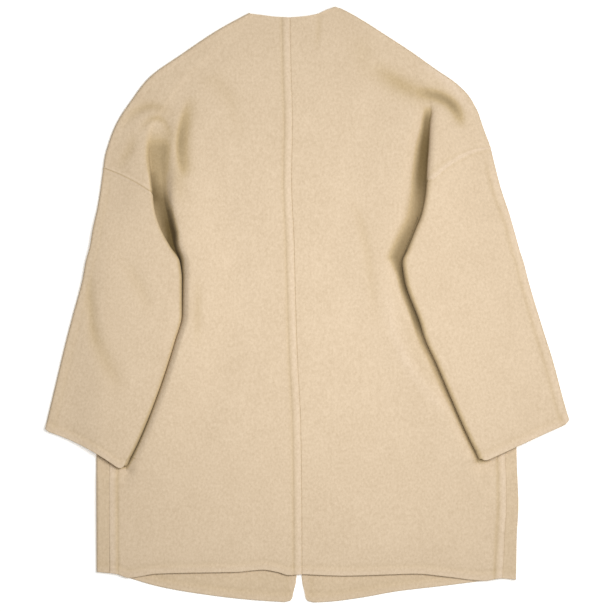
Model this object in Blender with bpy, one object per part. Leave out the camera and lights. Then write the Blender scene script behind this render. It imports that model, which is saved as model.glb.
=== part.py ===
"""Collarless coat in thick double-faced wool, lying flat with its back up.

Metres, +Z up. The origin is on the floor under the middle of the coat, +Y runs from hem to neck and +X to the
wearer's right. Each panel is a bent sheet: rows of points in the middle of the cloth, worked out from the
section tables, then given the wall both ways. Inside a half, a place is given by its distance "out" from the
middle line, its y and its height.
"""

import math
from collections import namedtuple

import bpy
import numpy as np

# Cloth, seams and the stack of layers
CLOTH = 0.0024
HALF_CLOTH = CLOTH / 2
SEAM_GAP = 0.0006
EDGE_GAP = 0.0018
ARMHOLE_GAP = 0.0011
DIVE_GAP = 0.0018
TUCK_GAP = 0.0030
BAND_WIDTH = 0.0095
BAND_RISE = 0.0005
BAND_SLOPE = 0.0020
BAND_LIPS = (0.0022, 0.0045, BAND_WIDTH - BAND_SLOPE / 2, BAND_WIDTH + BAND_SLOPE / 2)
FLOOR_LEVEL = HALF_CLOTH
EDGE_LEVEL = 0.0060
SLEEVE_UNDER_LEVEL = 0.0088
LOWEST_BACK = 0.0042

# How far the seams lie from the outermost line of a turned edge, and where they come down to it
EDGE_REACH = 0.0004
SHOULDER_REACH = 0.0052
REACH_FADE = 0.050
SLEEVE_REACH_FADE = 0.15
STEEPEST_SHOULDER = 1.8

# How the upper layers swell and drop
BODY_RISE = 0.034
LAP_INSET = 0.006
LEAST_BESIDE_SEAM = 0.032
SLEEVE_DROP = 0.038
SLEEVE_DROP_START = 0.033
CAP_DROP = 0.062
CAP_DROP_START = 0.048
DROP_SHARE = 0.68
UNDERARM_LIFT = 0.025
UNDERARM_EARLY = 0.014
UNDERARM_INSET = 0.006
CAP_BLEND_FROM = 0.090
CAP_BLEND_OVER = 0.070
LEAST_LOWER_BEND = 0.26
MOST_LOWER_BEND = 0.50
LEAST_TURN = 0.12
SHORTEST_TUCK = 0.002

# Front neckline, front edges and hem blending
NECK_DEPTH = 0.160
NECK_CURVE = 1.3
NECK_INSET = 0.012
NECK_FALL = 0.025
FRONT_START = 0.0006
FRONT_CORNER = 0.009
CORNER_SHARE = 0.3
FRONT_LAST = 0.009
HEM_BLEND_FROM = -0.330
HEM_MIDDLE = 0.25
FAR_OUT = 10.0

# Rows and columns of the panel grids: steps on each stretch of a row, rows in each zone
BACK_STEPS = (8, 14)
FRONT_STEPS = (6, 7)
SLEEVE_BACK_STEPS = (11, 6, 4)
SLEEVE_FRONT_STEPS = (7, 6)
NECK_ROWS = 3
SHOULDER_ROWS = 9
DIVE_ROWS = 6
DIVE_POWER = 0.8
UNDER_ROWS = 6
BODY_ROWS = 10
ROW_POWER = 1.5
HEM_ROWS = 3
POINT_STEP = 0.003
SEAM_SHARES = (0.06, 0.16, 0.28, 0.42, 0.56, 0.70, 0.84, 0.94)
STATIONS = (
    0.0, 0.018, 0.036, 0.06, 0.09, 0.13, 0.17, 0.21, 0.255, 0.30,
    0.345, 0.40, 0.46, 0.53, 0.60, 0.68, 0.76, 0.84, 0.92, 1.0,
)
DIVE_STATION = 2
BULB_SHARE = 0.6
LINE_POINTS = 60
BEND_POINTS = 25
TURN_WEIGHT = 0.020
MOST_LIP = 0.4
SLOPE_STEP = 0.002
TINY = 1e-6

WOOL_COLOUR = (0.69, 0.56, 0.41, 1.0)
WOOL_ROUGHNESS = 0.95

# One row for each section of a half, neck to hem: outline, inner fold of sleeve or slit, height of the cloth
# at the foot of that fold, height of its ridge, and the angle in degrees that the cloth turns through there.
Section = namedtuple("Section", "y edge fold foot ridge turn")
LEFT_SECTIONS = (
    Section(0.437, 0.0885, 0.068, 0.0046, 0.0048, 6),
    Section(0.412, 0.134, 0.101, 0.0054, 0.0060, 12),
    Section(0.376, 0.188, 0.143, 0.0062, 0.0070, 14),
    Section(0.340, 0.238, 0.182, 0.0068, 0.0080, 18),
    Section(0.304, 0.266, 0.209, 0.0070, 0.0090, 24),
    Section(0.277, 0.284, 0.226, 0.0068, 0.0100, 34),
    Section(0.250, 0.296, 0.236, 0.0062, 0.0115, 48),
    Section(0.223, 0.304, 0.237, 0.0056, 0.0135, 66),
    Section(0.202, 0.307, 0.235, 0.0052, 0.0148, 84),
    Section(0.172, 0.311, 0.232, 0.0052, 0.0158, 108),
    Section(0.156, 0.3135, 0.2310, 0.0052, 0.0160, 180),
    Section(0.142, 0.316, 0.229, 0.0052, 0.0160, 180),
    Section(0.115, 0.322, 0.2205, 0.0052, 0.0160, 180),
    Section(0.088, 0.3265, 0.205, 0.0052, 0.0160, 180),
    Section(0.064, 0.333, 0.190, 0.0052, 0.0160, 180),
    Section(0.037, 0.338, 0.186, 0.0052, 0.0160, 180),
    Section(-0.015, 0.352, 0.186, 0.0052, 0.0160, 180),
    Section(-0.053, 0.362, 0.196, 0.0052, 0.0160, 180),
    Section(-0.128, 0.380, 0.221, 0.0052, 0.0158, 180),
    Section(-0.200, 0.397, 0.251, 0.0052, 0.0148, 180),
    Section(-0.262, 0.410, 0.282, 0.0052, 0.0134, 180),
    Section(-0.300, 0.418, 0.302, 0.0060, 0.0130, 180),
    Section(-0.412, 0.440, 0.302, 0.0060, 0.0130, 180),
)
RIGHT_SECTIONS = (
    Section(0.4465, 0.0443, 0.030, 0.0046, 0.0048, 6),
    Section(0.430, 0.076, 0.056, 0.0052, 0.0058, 11),
    Section(0.403, 0.119, 0.097, 0.0060, 0.0068, 13),
    Section(0.376, 0.160, 0.131, 0.0066, 0.0078, 18),
    Section(0.349, 0.197, 0.158, 0.0068, 0.0086, 22),
    Section(0.331, 0.223, 0.172, 0.0066, 0.0096, 28),
    Section(0.313, 0.242, 0.181, 0.0062, 0.0110, 40),
    Section(0.292, 0.2547, 0.186, 0.0056, 0.0128, 64),
    Section(0.262, 0.265, 0.1845, 0.0052, 0.0148, 88),
    Section(0.2366, 0.2745, 0.1835, 0.0052, 0.0156, 98),
    Section(0.210, 0.281, 0.182, 0.0052, 0.0160, 106),
    Section(0.190, 0.286, 0.181, 0.0052, 0.0160, 112),
    Section(0.175, 0.2900, 0.1808, 0.0052, 0.0160, 180),
    Section(0.139, 0.302, 0.172, 0.0052, 0.0160, 180),
    Section(0.1106, 0.310, 0.160, 0.0052, 0.0160, 180),
    Section(0.082, 0.318, 0.147, 0.0052, 0.0160, 180),
    Section(0.064, 0.324, 0.140, 0.0052, 0.0160, 180),
    Section(0.037, 0.331, 0.145, 0.0052, 0.0160, 180),
    Section(-0.023, 0.349, 0.166, 0.0052, 0.0160, 180),
    Section(-0.083, 0.368, 0.190, 0.0052, 0.0160, 180),
    Section(-0.143, 0.384, 0.214, 0.0052, 0.0158, 180),
    Section(-0.188, 0.397, 0.235, 0.0052, 0.0148, 180),
    Section(-0.256, 0.4165, 0.270, 0.0052, 0.0134, 180),
    Section(-0.300, 0.428, 0.300, 0.0060, 0.0130, 180),
    Section(-0.412, 0.455, 0.300, 0.0060, 0.0130, 180),
)

# The side edge of the body, and how far the front reaches up round it to the side seam.
SideEdge = namedtuple("SideEdge", "y edge reach")
LEFT_SIDE = (
    SideEdge(0.082, 0.3062, 0.0004),
    SideEdge(0.050, 0.3080, 0.0050),
    SideEdge(0.000, 0.3120, 0.0105),
    SideEdge(-0.150, 0.3165, 0.0175),
    SideEdge(-0.245, 0.3170, 0.0200),
    SideEdge(-0.405, 0.3165, 0.0198),
)
RIGHT_SIDE = (
    SideEdge(0.082, 0.2972, 0.0004),
    SideEdge(0.050, 0.3000, 0.0048),
    SideEdge(0.000, 0.3050, 0.0095),
    SideEdge(-0.150, 0.3120, 0.0155),
    SideEdge(-0.245, 0.3145, 0.0174),
    SideEdge(-0.300, 0.3165, 0.0189),
    SideEdge(-0.350, 0.3140, 0.0189),
    SideEdge(-0.412, 0.3130, 0.0204),
)

# The centre-back seam and the height of the back beside it.
Centre = namedtuple("Centre", "y x level")
CENTRE_BACK = (
    Centre(0.437, -0.0263, 0.0042),
    Centre(0.400, -0.0258, 0.0055),
    Centre(0.340, -0.0245, 0.0068),
    Centre(0.277, -0.0225, 0.0075),
    Centre(0.187, -0.0240, 0.0078),
    Centre(0.097, -0.0203, 0.0078),
    Centre(0.007, -0.0180, 0.0078),
    Centre(-0.083, -0.0150, 0.0076),
    Centre(-0.173, -0.0105, 0.0074),
    Centre(-0.263, -0.0090, 0.0070),
    Centre(-0.412, -0.0083, 0.0062),
)

# Front edges: the middle of the opening and half its width.
Opening = namedtuple("Opening", "y x half")
CENTRE_FRONT = (
    Opening(0.290, -0.0230, 0.0014),
    Opening(-0.200, -0.0125, 0.0014),
    Opening(-0.380, -0.0120, 0.0030),
    Opening(-0.447, -0.0122, 0.0068),
)

# Neck and hem lines, each by distance out from the middle line.
Edge = namedtuple("Edge", "out y")
LEFT_NECK = (
    Edge(0.026, 0.4313),
    Edge(0.045, 0.4320),
    Edge(0.070, 0.4350),
    Edge(0.0885, 0.4370),
)
RIGHT_NECK = (
    Edge(-0.026, 0.4313),
    Edge(-0.004, 0.4330),
    Edge(0.015, 0.4367),
    Edge(0.0305, 0.4426),
    Edge(0.0443, 0.4465),
)
LEFT_BACK_HEM = (
    Edge(0.008, -0.4046),
    Edge(0.028, -0.4061),
    Edge(0.045, -0.4013),
    Edge(0.067, -0.3979),
    Edge(0.107, -0.4013),
    Edge(0.174, -0.4024),
    Edge(0.2265, -0.4039),
    Edge(0.2685, -0.4099),
    Edge(0.286, -0.4043),
    Edge(0.298, -0.4025),
)
RIGHT_BACK_HEM = (
    Edge(-0.0083, -0.4046),
    Edge(0.055, -0.4069),
    Edge(0.126, -0.4049),
    Edge(0.162, -0.4039),
    Edge(0.210, -0.4084),
    Edge(0.245, -0.4129),
    Edge(0.265, -0.4144),
    Edge(0.291, -0.4108),
    Edge(0.303, -0.4120),
)
LEFT_FRONT_HEM = (
    Edge(0.015, -0.4463),
    Edge(0.085, -0.4430),
    Edge(0.161, -0.4340),
    Edge(0.221, -0.4234),
    Edge(0.2685, -0.4099),
    Edge(0.286, -0.4043),
    Edge(0.3165, -0.4009),
)
RIGHT_FRONT_HEM = (
    Edge(-0.010, -0.4469),
    Edge(0.031, -0.4459),
    Edge(0.079, -0.4399),
    Edge(0.136, -0.4300),
    Edge(0.197, -0.4228),
    Edge(0.245, -0.4168),
    Edge(0.265, -0.4144),
    Edge(0.291, -0.4108),
    Edge(0.313, -0.4129),
)

# Armhole: y where the seam leaves the shoulder line, where it reaches the fold, where it has dived under it and
# at the underarm, its place on the floor side, and its bow to the neck. Cuff: outer and inner corner and bow.
Armhole = namedtuple("Armhole", "top inner dive under front_out bow")
LEFT_ARMHOLE = Armhole(0.205, 0.171, 0.156, 0.082, 0.3000, 0.001)
RIGHT_ARMHOLE = Armhole(0.2366, 0.190, 0.175, 0.082, 0.2675, 0.006)
Cuff = namedtuple("Cuff", "outer inner bow")
LEFT_CUFF = Cuff(-0.1895, -0.245, 0.0045)
RIGHT_CUFF = Cuff(-0.176, -0.236, -0.0040)

# Large soft troughs in the upper cloth: three points of each line, its half width and its depth.
Trough = namedtuple("Trough", "half start middle end width depth")
TROUGHS = (
    Trough("right", (0.112, 0.354), (0.199, 0.311), (0.229, 0.282), 0.0125, 0.0042),
    Trough("left", (0.176, 0.310), (0.186, 0.255), (0.184, 0.200), 0.0085, 0.0022),
    Trough("left", (0.284, 0.285), (0.236, 0.301), (0.204, 0.254), 0.0100, 0.0020),
    Trough("left", (0.330, 0.020), (0.318, -0.040), (0.280, -0.110), 0.0150, 0.0010),
)
TROUGH_SAMPLES = 40

Half = namedtuple(
    "Half",
    "name sign edge fold foot ridge turn side reach neck back_hem front_hem armhole cuff",
)


def ease(share):
    """Soft step from 0 to 1."""
    share = np.clip(share, 0.0, 1.0)
    return share * share * (3.0 - 2.0 * share)


def mix(start, end, share):
    """Value a share of the way from start to end."""
    return start + (end - start) * share


def curve_through(places, values):
    """Smooth curve through table values: cubic pieces whose slopes never overshoot a row."""
    order = np.argsort(places)
    at = np.asarray(places, float)[order]
    value = np.asarray(values, float)[order]
    step = np.diff(at)
    rise = np.diff(value) / step
    slope = np.zeros_like(value)
    slope[0] = rise[0]
    slope[-1] = rise[-1]
    product = rise[:-1] * rise[1:]
    total = rise[:-1] + rise[1:]
    same_way = product > 0
    slope[1:-1][same_way] = 2.0 * product[same_way] / total[same_way]

    def curve(place):
        place = np.clip(place, at[0], at[-1])
        piece = np.clip(np.searchsorted(at, place, side="right") - 1, 0, len(step) - 1)
        t = (place - at[piece]) / step[piece]
        start = value[piece] * (1 + 2 * t) * (1 - t) ** 2 + slope[piece] * step[piece] * t * (1 - t) ** 2
        end = value[piece + 1] * (3 - 2 * t) * t ** 2 - slope[piece + 1] * step[piece] * (1 - t) * t ** 2
        return start + end

    return curve


def column(rows, key, name):
    """Curve of one named column of a table over its key column."""
    return curve_through([getattr(row, key) for row in rows], [getattr(row, name) for row in rows])


def make_half(name, sign, sections, side, neck, back_hem, front_hem, armhole, cuff):
    """Gather the curves of one half of the coat."""
    shape = {key: column(sections, "y", key) for key in ("edge", "fold", "foot", "ridge", "turn")}
    return Half(
        name=name,
        sign=sign,
        side=column(side, "y", "edge"),
        reach=column(side, "y", "reach"),
        neck=column(neck, "out", "y"),
        back_hem=column(back_hem, "out", "y"),
        front_hem=column(front_hem, "out", "y"),
        armhole=armhole,
        cuff=cuff,
        **shape,
    )


centre_x = column(CENTRE_BACK, "y", "x")
centre_level = column(CENTRE_BACK, "y", "level")
opening_x = column(CENTRE_FRONT, "y", "x")
opening_half = column(CENTRE_FRONT, "y", "half")


def trough_depth(half, out, y):
    """Sum of the soft troughs of a half: each is deepest on its line and fades across it and to its ends."""
    depth = np.zeros(np.broadcast(out, y).shape)
    t = np.linspace(0.0, 1.0, TROUGH_SAMPLES)
    for trough in TROUGHS:
        if trough.half != half.name:
            continue
        start, middle, end = (np.array(point)[:, None] for point in (trough.start, trough.middle, trough.end))
        line = start * (1 - t) * (1 - 2 * t) + middle * 4 * t * (1 - t) + end * t * (2 * t - 1)
        far = (np.asarray(out)[..., None] - line[0]) ** 2 + (np.asarray(y)[..., None] - line[1]) ** 2
        fade = np.sin(math.pi * t) ** 0.5
        depth += trough.depth * np.max(fade * np.exp(-far / trough.width ** 2), axis=-1)
    return depth


def outline(half, y):
    """Middle of the cloth at the outline: half a wall inside it."""
    return half.edge(y) - HALF_CLOTH


def body_side(half, y):
    """Middle of the cloth at the side edge of the body."""
    return half.side(y) - HALF_CLOTH


def upper_level(half, out, y):
    """Height of the upper cloth of shoulder cap and sleeve: it rises from the outline to the ridge of the
    fold, and below the underarm most of that rise is the step over the side edge of the body."""
    share = (half.edge(y) - out) / (half.edge(y) - half.fold(y))
    over_body = ease((half.side(y) + CAP_DROP_START - out) / CAP_DROP)
    sleeve = DROP_SHARE * over_body + (1 - DROP_SHARE) * ease(share)
    swell = mix(sleeve, ease(share), ease((y - CAP_BLEND_FROM) / CAP_BLEND_OVER))
    return EDGE_LEVEL + (half.ridge(y) - EDGE_LEVEL) * swell - trough_depth(half, out, y)


def under_level(half, out, y):
    """Height of the sleeve's under cloth: on the floor outside the body, on the back over it."""
    over_body = ease((half.side(y) + SLEEVE_DROP_START - out) / SLEEVE_DROP)
    below_arm = ease((half.armhole.under + UNDERARM_EARLY + UNDERARM_LIFT - y) / UNDERARM_LIFT)
    return FLOOR_LEVEL + (SLEEVE_UNDER_LEVEL - FLOOR_LEVEL) * over_body * below_arm


def back_level(half, out, y, lap):
    """Height of the back beside the sleeve: low at the lap line, rising to the level at the centre."""
    low = half.foot(y)
    level = low + (centre_level(y) - low) * ease((lap - out) / BODY_RISE)
    return np.maximum(level - trough_depth(half, out, y), LOWEST_BACK)


Bend = namedtuple("Bend", "turn lower upper start foot_out")


def fold_bend(half, y):
    """The bend at the inner fold: an arc up from the foot and an arc back to level, turning by the same
    angle. The upper arc's inmost point lies on the fold line."""
    foot = half.foot(y)
    ridge = half.ridge(y)
    turn = math.radians(half.turn(y))
    both = (ridge - foot) / (1.0 - math.cos(turn))
    lower_share = 1.0 - (ridge - SLEEVE_UNDER_LEVEL) / (ridge - foot)
    lower = both * min(max(lower_share, LEAST_LOWER_BEND), MOST_LOWER_BEND)
    upper = both - lower
    start = half.fold(y) + HALF_CLOTH
    if turn > math.pi / 2:
        start += upper * (1.0 - math.sin(turn))
    return Bend(turn, lower, upper, start, start - lower * math.sin(turn))


def line_points(outs, ys, heights):
    """Rows of (out, y, height) from broadcast arrays."""
    return np.stack(np.broadcast_arrays(outs, ys, heights), axis=-1).astype(float)


def join_lines(*lines):
    """Join stretches of a row, without the double points where they meet."""
    points = np.concatenate(lines)
    keep = np.ones(len(points), bool)
    keep[1:] = np.linalg.norm(np.diff(points, axis=0), axis=1) > TINY
    return points[keep]


def distances(points):
    """Length along a row from its start to each of its points."""
    return np.concatenate(([0.0], np.cumsum(np.linalg.norm(np.diff(points, axis=0), axis=1))))


def cut_row(points, start, end):
    """The stretch of a row between two lengths along it."""
    along = distances(points)
    ends = np.stack([np.interp((start, end), along, points[:, axis]) for axis in range(3)], axis=-1)
    inside = points[(along > start + TINY) & (along < end - TINY)]
    return np.concatenate((ends[:1], inside, ends[1:]))


Row = namedtuple("Row", "points joints")


def spread(row, counts, start_lips=(), end_lips=()):
    """Pick points along a row, a set number of steps on each of its stretches. They lie at set distances
    from both ends and otherwise at even steps of length plus turning. Each comes with the row's direction."""
    points = row.points
    along = distances(points)
    step = np.diff(points, axis=0)
    direction = step / np.diff(along)[:, None]
    turning = np.arccos(np.clip(np.sum(direction[1:] * direction[:-1], axis=1), -1.0, 1.0))
    weight = np.diff(along)
    weight[1:] += TURN_WEIGHT / 2 * turning
    weight[:-1] += TURN_WEIGHT / 2 * turning
    measure = np.concatenate(([0.0], np.cumsum(weight)))
    bounds = (0.0, *row.joints, along[-1])
    places = [0.0]
    for number, steps in enumerate(counts):
        start, end = bounds[number], bounds[number + 1]
        near = start_lips if number == 0 else ()
        far = end_lips if number == len(counts) - 1 else ()
        scale = min(1.0, MOST_LIP * (end - start) / max((*near, *far, TINY)))
        starts = [start + lip * scale for lip in near]
        ends = [end - lip * scale for lip in reversed(far)]
        between = np.linspace(
            np.interp((start, *starts)[-1], along, measure),
            np.interp((*ends, end)[0], along, measure),
            steps + 1 - len(starts) - len(ends),
        )
        places += [*starts, *np.interp(between[1:-1], measure, along), *ends, end]
    heading = np.gradient(points, along, axis=0)
    both = np.concatenate((points, heading), axis=1)
    return np.stack([np.interp(places, along, both[:, axis]) for axis in range(6)], axis=-1)


def seam_gap(reach):
    """Gap at a seam along a turned edge: wider where the seam runs down round the edge itself."""
    return mix(EDGE_GAP, SEAM_GAP, ease((reach - EDGE_GAP) / SHOULDER_REACH))


def shoulder_slant(half, y):
    """Length along a row for each unit square to the outline."""
    slope = (half.edge(y + SLOPE_STEP) - half.edge(y - SLOPE_STEP)) / (2 * SLOPE_STEP)
    return min(math.hypot(1.0, slope), STEEPEST_SHOULDER)


def sleeve_inner(half, y):
    """Distance out of the top of the inner fold's arc."""
    bend = fold_bend(half, y)
    return bend.start + bend.upper * math.sin(bend.turn)


def sleeve_line(half, along, share):
    """Place across the sleeve at one station: share 0 on the outline, 1 at the top of the inner fold."""
    y_outer = mix(half.armhole.top, half.cuff.outer, along)
    y_inner = mix(half.armhole.inner, half.cuff.inner, along)
    inner = sleeve_inner(half, y_inner)
    outer = outline(half, y_outer)
    bow = half.armhole.bow * (1 - along) ** 2 + half.cuff.bow * along ** 2
    y = mix(y_outer, y_inner, share) + bow * 4 * share * (1 - share)
    return mix(outer, inner, share), y


def armhole_out(half, y):
    """Place of the visible armhole seam on a row between the shoulder line and the fold."""
    outs, ys = sleeve_line(half, 0.0, np.linspace(0.0, 1.0, LINE_POINTS))
    return np.interp(y, ys[::-1], outs[::-1])


def underarm_line(half, y, upper_out):
    """Hidden edge of a panel from the armhole's upper end to the underarm, then along the body's side."""
    arm = half.armhole
    under_out = body_side(half, arm.under) - UNDERARM_INSET
    share = (arm.dive - y) / (arm.dive - arm.under)
    beside = body_side(half, y) - UNDERARM_INSET
    return np.where(y < arm.under, beside, mix(upper_out, under_out, np.clip(share, 0.0, 1.0)))


def back_armhole(half, y):
    """Hidden part of the armhole seam, between back and sleeve."""
    return underarm_line(half, y, fold_bend(half, half.armhole.dive).start)


def front_armhole(half, y):
    """Armhole seam on the floor side, from the shoulder point to the underarm, then along the body's side."""
    arm = half.armhole
    under_out = body_side(half, arm.under) - UNDERARM_INSET
    beside = body_side(half, y) - UNDERARM_INSET
    share = (arm.top - y) / (arm.top - arm.under)
    return np.where(y < arm.under, beside, mix(arm.front_out, under_out, share))


def front_first(half, y):
    """Where a row of the front starts: on the neckline or on the front edge."""
    opening = half.sign * opening_x(y) + opening_half(y)
    neck_point = half.neck(FAR_OUT)
    up_neck = max(y - (neck_point - NECK_DEPTH), 0.0) / NECK_DEPTH
    return mix(opening, half.edge(neck_point) - NECK_INSET, up_neck ** NECK_CURVE)


def body_line(half, y, y_of_out, lap, last):
    """Back from the centre seam to the lap line and on to a last place."""
    centre = half.sign * centre_x(y) + SEAM_GAP / 2
    outs = np.linspace(centre, lap, LINE_POINTS)
    body = line_points(outs, y_of_out(outs), back_level(half, outs, y_of_out(outs), lap))
    outs = np.linspace(lap, last, LINE_POINTS)
    beyond = line_points(outs, y_of_out(outs), back_level(half, outs, y_of_out(outs), lap))
    return body, beyond


def back_rise(half, y, y_of_out):
    """Back from the centre seam to the foot of the fold, and up the bend to its top."""
    bend = fold_bend(half, y)
    body, _ = body_line(half, y, y_of_out, bend.foot_out, bend.foot_out)
    foot = body[-1, 2]
    inner = sleeve_inner(half, y)
    ridge = float(upper_level(half, inner, y_of_out(inner)))
    stretch = (ridge - foot) / ((bend.lower + bend.upper) * (1 - math.cos(bend.turn)))
    angle = np.linspace(0.0, bend.turn, BEND_POINTS)
    outs = bend.foot_out + bend.lower * np.sin(angle)
    lower = line_points(outs, y_of_out(outs), foot + stretch * bend.lower * (1 - np.cos(angle)))
    angle = angle[::-1]
    outs = bend.start + bend.upper * (math.sin(bend.turn) - np.sin(angle))
    heights = lower[-1, 2] + stretch * bend.upper * (np.cos(angle) - math.cos(bend.turn))
    return body, lower, line_points(outs, y_of_out(outs), heights)


Loop = namedtuple("Loop", "points lap floor seam gap")


def body_loop(half, y, y_of_out):
    """Row round half the body, at the shoulder or below the underarm: from the centre seam out over the back,
    round the edge and along the floor to the front edge. It carries the lengths along it to the lap line, the
    floor and the seam, and the gap there."""
    if y >= half.armhole.top:
        slant = shoulder_slant(half, y)
        last = outline(half, y) - (EDGE_LEVEL - FLOOR_LEVEL) / 2 * slant
        body, lower, upper = back_rise(half, y, y_of_out)
        outs = np.linspace(upper[-1, 0], last, LINE_POINTS)
        cap = line_points(outs, y_of_out(outs), upper_level(half, outs, y_of_out(outs)))
        above = join_lines(body, lower, upper, cap)
        reach = mix(EDGE_REACH, SHOULDER_REACH, ease((y - half.armhole.top) / REACH_FADE)) * slant
    else:
        slant = 1.0
        last = body_side(half, y) - (half.foot(y) - FLOOR_LEVEL) / 2
        body, beyond = body_line(half, y, y_of_out, half.fold(y) - LAP_INSET, last)
        above = join_lines(body, beyond)
        reach = half.reach(y)
    radius = (above[-1, 2] - FLOOR_LEVEL) / 2
    angle = np.linspace(0.0, math.pi, BEND_POINTS)
    outs = last + radius * slant * np.sin(angle)
    turned = line_points(outs, y_of_out(outs), FLOOR_LEVEL + radius * (1 + np.cos(angle)))
    outs = np.linspace(last, front_first(half, y), LINE_POINTS)
    floor = line_points(outs, y_of_out(outs), FLOOR_LEVEL)
    round_edge = distances(turned)[-1]
    over = distances(above)[-1]
    seam = over + round_edge / 2 - reach
    points = join_lines(above, turned, floor)
    return Loop(points, distances(body)[-1], over + round_edge, seam, seam_gap(reach))


def back_stretches(points, lap):
    """Row of a back, parted at the lap line but never close to its outer end."""
    return Row(points, (min(lap, distances(points)[-1] - LEAST_BESIDE_SEAM),))


def back_row(half, y, y_of_out):
    """One row of a back, from the centre seam out to the shoulder, armhole or side seam."""
    arm = half.armhole
    if y >= arm.top or y <= arm.under:
        loop = body_loop(half, y, y_of_out)
        return back_stretches(cut_row(loop.points, 0.0, loop.seam - loop.gap / 2), loop.lap)
    if y <= arm.dive:
        lap = fold_bend(half, arm.dive).foot_out - LAP_INSET
        lap = mix(lap, half.fold(arm.under) - LAP_INSET, (arm.dive - y) / (arm.dive - arm.under))
        body, beyond = body_line(half, y, y_of_out, lap, float(back_armhole(half, y)) - SEAM_GAP)
        return back_stretches(join_lines(body, beyond), distances(body)[-1])
    body, lower, upper = back_rise(half, y, y_of_out)
    lap = distances(body)[-1]
    if y <= arm.inner:
        points = join_lines(body, lower, upper)
        share = dive_share(half, y) ** DIVE_POWER
        cut = mix(distances(upper)[-1] * LEAST_TURN, distances(points)[-1] - lap, share)
        return back_stretches(cut_row(points, 0.0, distances(points)[-1] - cut - DIVE_GAP), lap)
    outs = np.linspace(upper[-1, 0], armhole_out(half, y - ARMHOLE_GAP), LINE_POINTS)
    cap = line_points(outs, y_of_out(outs), upper_level(half, outs, y_of_out(outs)))
    return back_stretches(join_lines(body, lower, upper, cap), lap)


def dive_share(half, y):
    """How far the armhole seam has gone down the fold: 0 at its top, 1 below it."""
    arm = half.armhole
    return float(np.clip((arm.inner - y) / (arm.inner - arm.dive), 0.0, 1.0))


def level_row(make_row, half, y):
    """A row at one y all the way across."""
    return make_row(half, y, lambda outs: np.full(np.shape(outs), y))


def hem_rows(make_row, half, hem):
    """Rows that pass from a level row to the hem line."""
    rows = []
    for share in np.linspace(0.0, 1.0, HEM_ROWS + 1)[1:]:
        y = mix(HEM_BLEND_FROM, float(hem(HEM_MIDDLE)), share)
        rows.append(make_row(half, y, lambda outs, share=share: mix(HEM_BLEND_FROM, hem(outs), share)))
    return rows


def shoulder_places(half):
    """Y of the level rows between neck and shoulder point."""
    share = np.linspace(1.0, 0.0, SHOULDER_ROWS) ** ROW_POWER
    return mix(half.armhole.top + POINT_STEP, half.neck(FAR_OUT) - NECK_FALL, share)


def body_places(half):
    """Y of the level rows below the underarm."""
    return mix(half.armhole.under, HEM_BLEND_FROM, np.linspace(0.0, 1.0, BODY_ROWS) ** ROW_POWER)


def with_along(grid, breaks):
    """Add to each point of a grid the direction down its column, taken apart above and below each break."""
    parts = np.split(grid[..., :3], breaks)
    return np.concatenate((grid, np.concatenate([np.gradient(part, axis=0) for part in parts])), axis=2)


def back_panel(half):
    """Grid of one back: neck rows that follow the neck line, level rows, and hem rows."""
    arm = half.armhole
    shoulder = shoulder_places(half)
    neck_point = half.neck(FAR_OUT)
    rows = []
    for share in np.linspace(0.0, 1.0, NECK_ROWS + 1)[:-1]:
        y = mix(neck_point, shoulder[0], share)
        rows.append(back_row(half, y, lambda outs, share=share: mix(half.neck(outs), shoulder[0], share)))
    seam = sleeve_line(half, 0.0, np.array(SEAM_SHARES))[1] + ARMHOLE_GAP
    dive = np.linspace(arm.inner, arm.dive, DIVE_ROWS)
    under = np.linspace(arm.dive, arm.under, UNDER_ROWS)[1:-1]
    level = np.concatenate((shoulder, [arm.top + ARMHOLE_GAP], seam, dive, under, body_places(half)))
    rows += [level_row(back_row, half, y) for y in level]
    rows += hem_rows(back_row, half, half.back_hem)
    grid = np.array([spread(row, BACK_STEPS, BAND_LIPS[2:], BAND_LIPS) for row in rows])
    breaks = np.cumsum((NECK_ROWS + len(shoulder) + 1, len(seam) + len(dive) - 1, 1 + len(under)))
    return with_along(grid, breaks)


def front_row(half, y, y_of_out):
    """One row of a front, from the neckline or front edge along the floor, and round the outer edge."""
    arm = half.armhole
    if arm.under < y < arm.top + POINT_STEP / 2:
        outs = np.linspace(front_first(half, y), float(front_armhole(half, y)) - SEAM_GAP, LINE_POINTS)
        points = line_points(outs, y_of_out(outs), FLOOR_LEVEL)
        return Row(points, (distances(points)[-1] - FRONT_LAST,))
    loop = body_loop(half, y, y_of_out)
    total = distances(loop.points)[-1]
    return Row(cut_row(loop.points, loop.seam + loop.gap / 2, total)[::-1], (total - loop.floor,))


def front_panel(half):
    """Grid of one front, from the shoulder at the neck to the hem."""
    arm = half.armhole
    shoulder = shoulder_places(half)
    near_neck = np.linspace(half.neck(FAR_OUT) - FRONT_START, shoulder[0], NECK_ROWS)[:-1]
    armhole = np.linspace(arm.top, arm.under + POINT_STEP, UNDER_ROWS + 1)
    level = np.concatenate((near_neck, shoulder, armhole, body_places(half)))
    rows = [level_row(front_row, half, y) for y in level]
    rows += hem_rows(front_row, half, half.front_hem)
    grid = np.array([spread(row, FRONT_STEPS, (FRONT_CORNER * CORNER_SHARE, FRONT_CORNER)) for row in rows])
    corner = np.clip(1.0 - (grid[-1, :, 0] - grid[-1, 0, 0]) / FRONT_CORNER, 0.0, 1.0)
    grid[-1, :, 1] += FRONT_CORNER * (1 - np.sqrt(1 - corner ** 2)) * (grid[-1, :, 2] < CLOTH)
    return with_along(grid, np.cumsum((len(near_neck) + len(shoulder), len(armhole))))


def share_at(half, along, line):
    """Share of a sleeve station's width at which it crosses a line along the coat."""
    share = np.linspace(0.0, 1.0, LINE_POINTS)
    outs, ys = sleeve_line(half, along, share)
    return float(np.interp(0.0, (outs - line(half, ys))[::-1], share[::-1]))


SleeveLoop = namedtuple("SleeveLoop", "points floor fold bulb seam gap")


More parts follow.
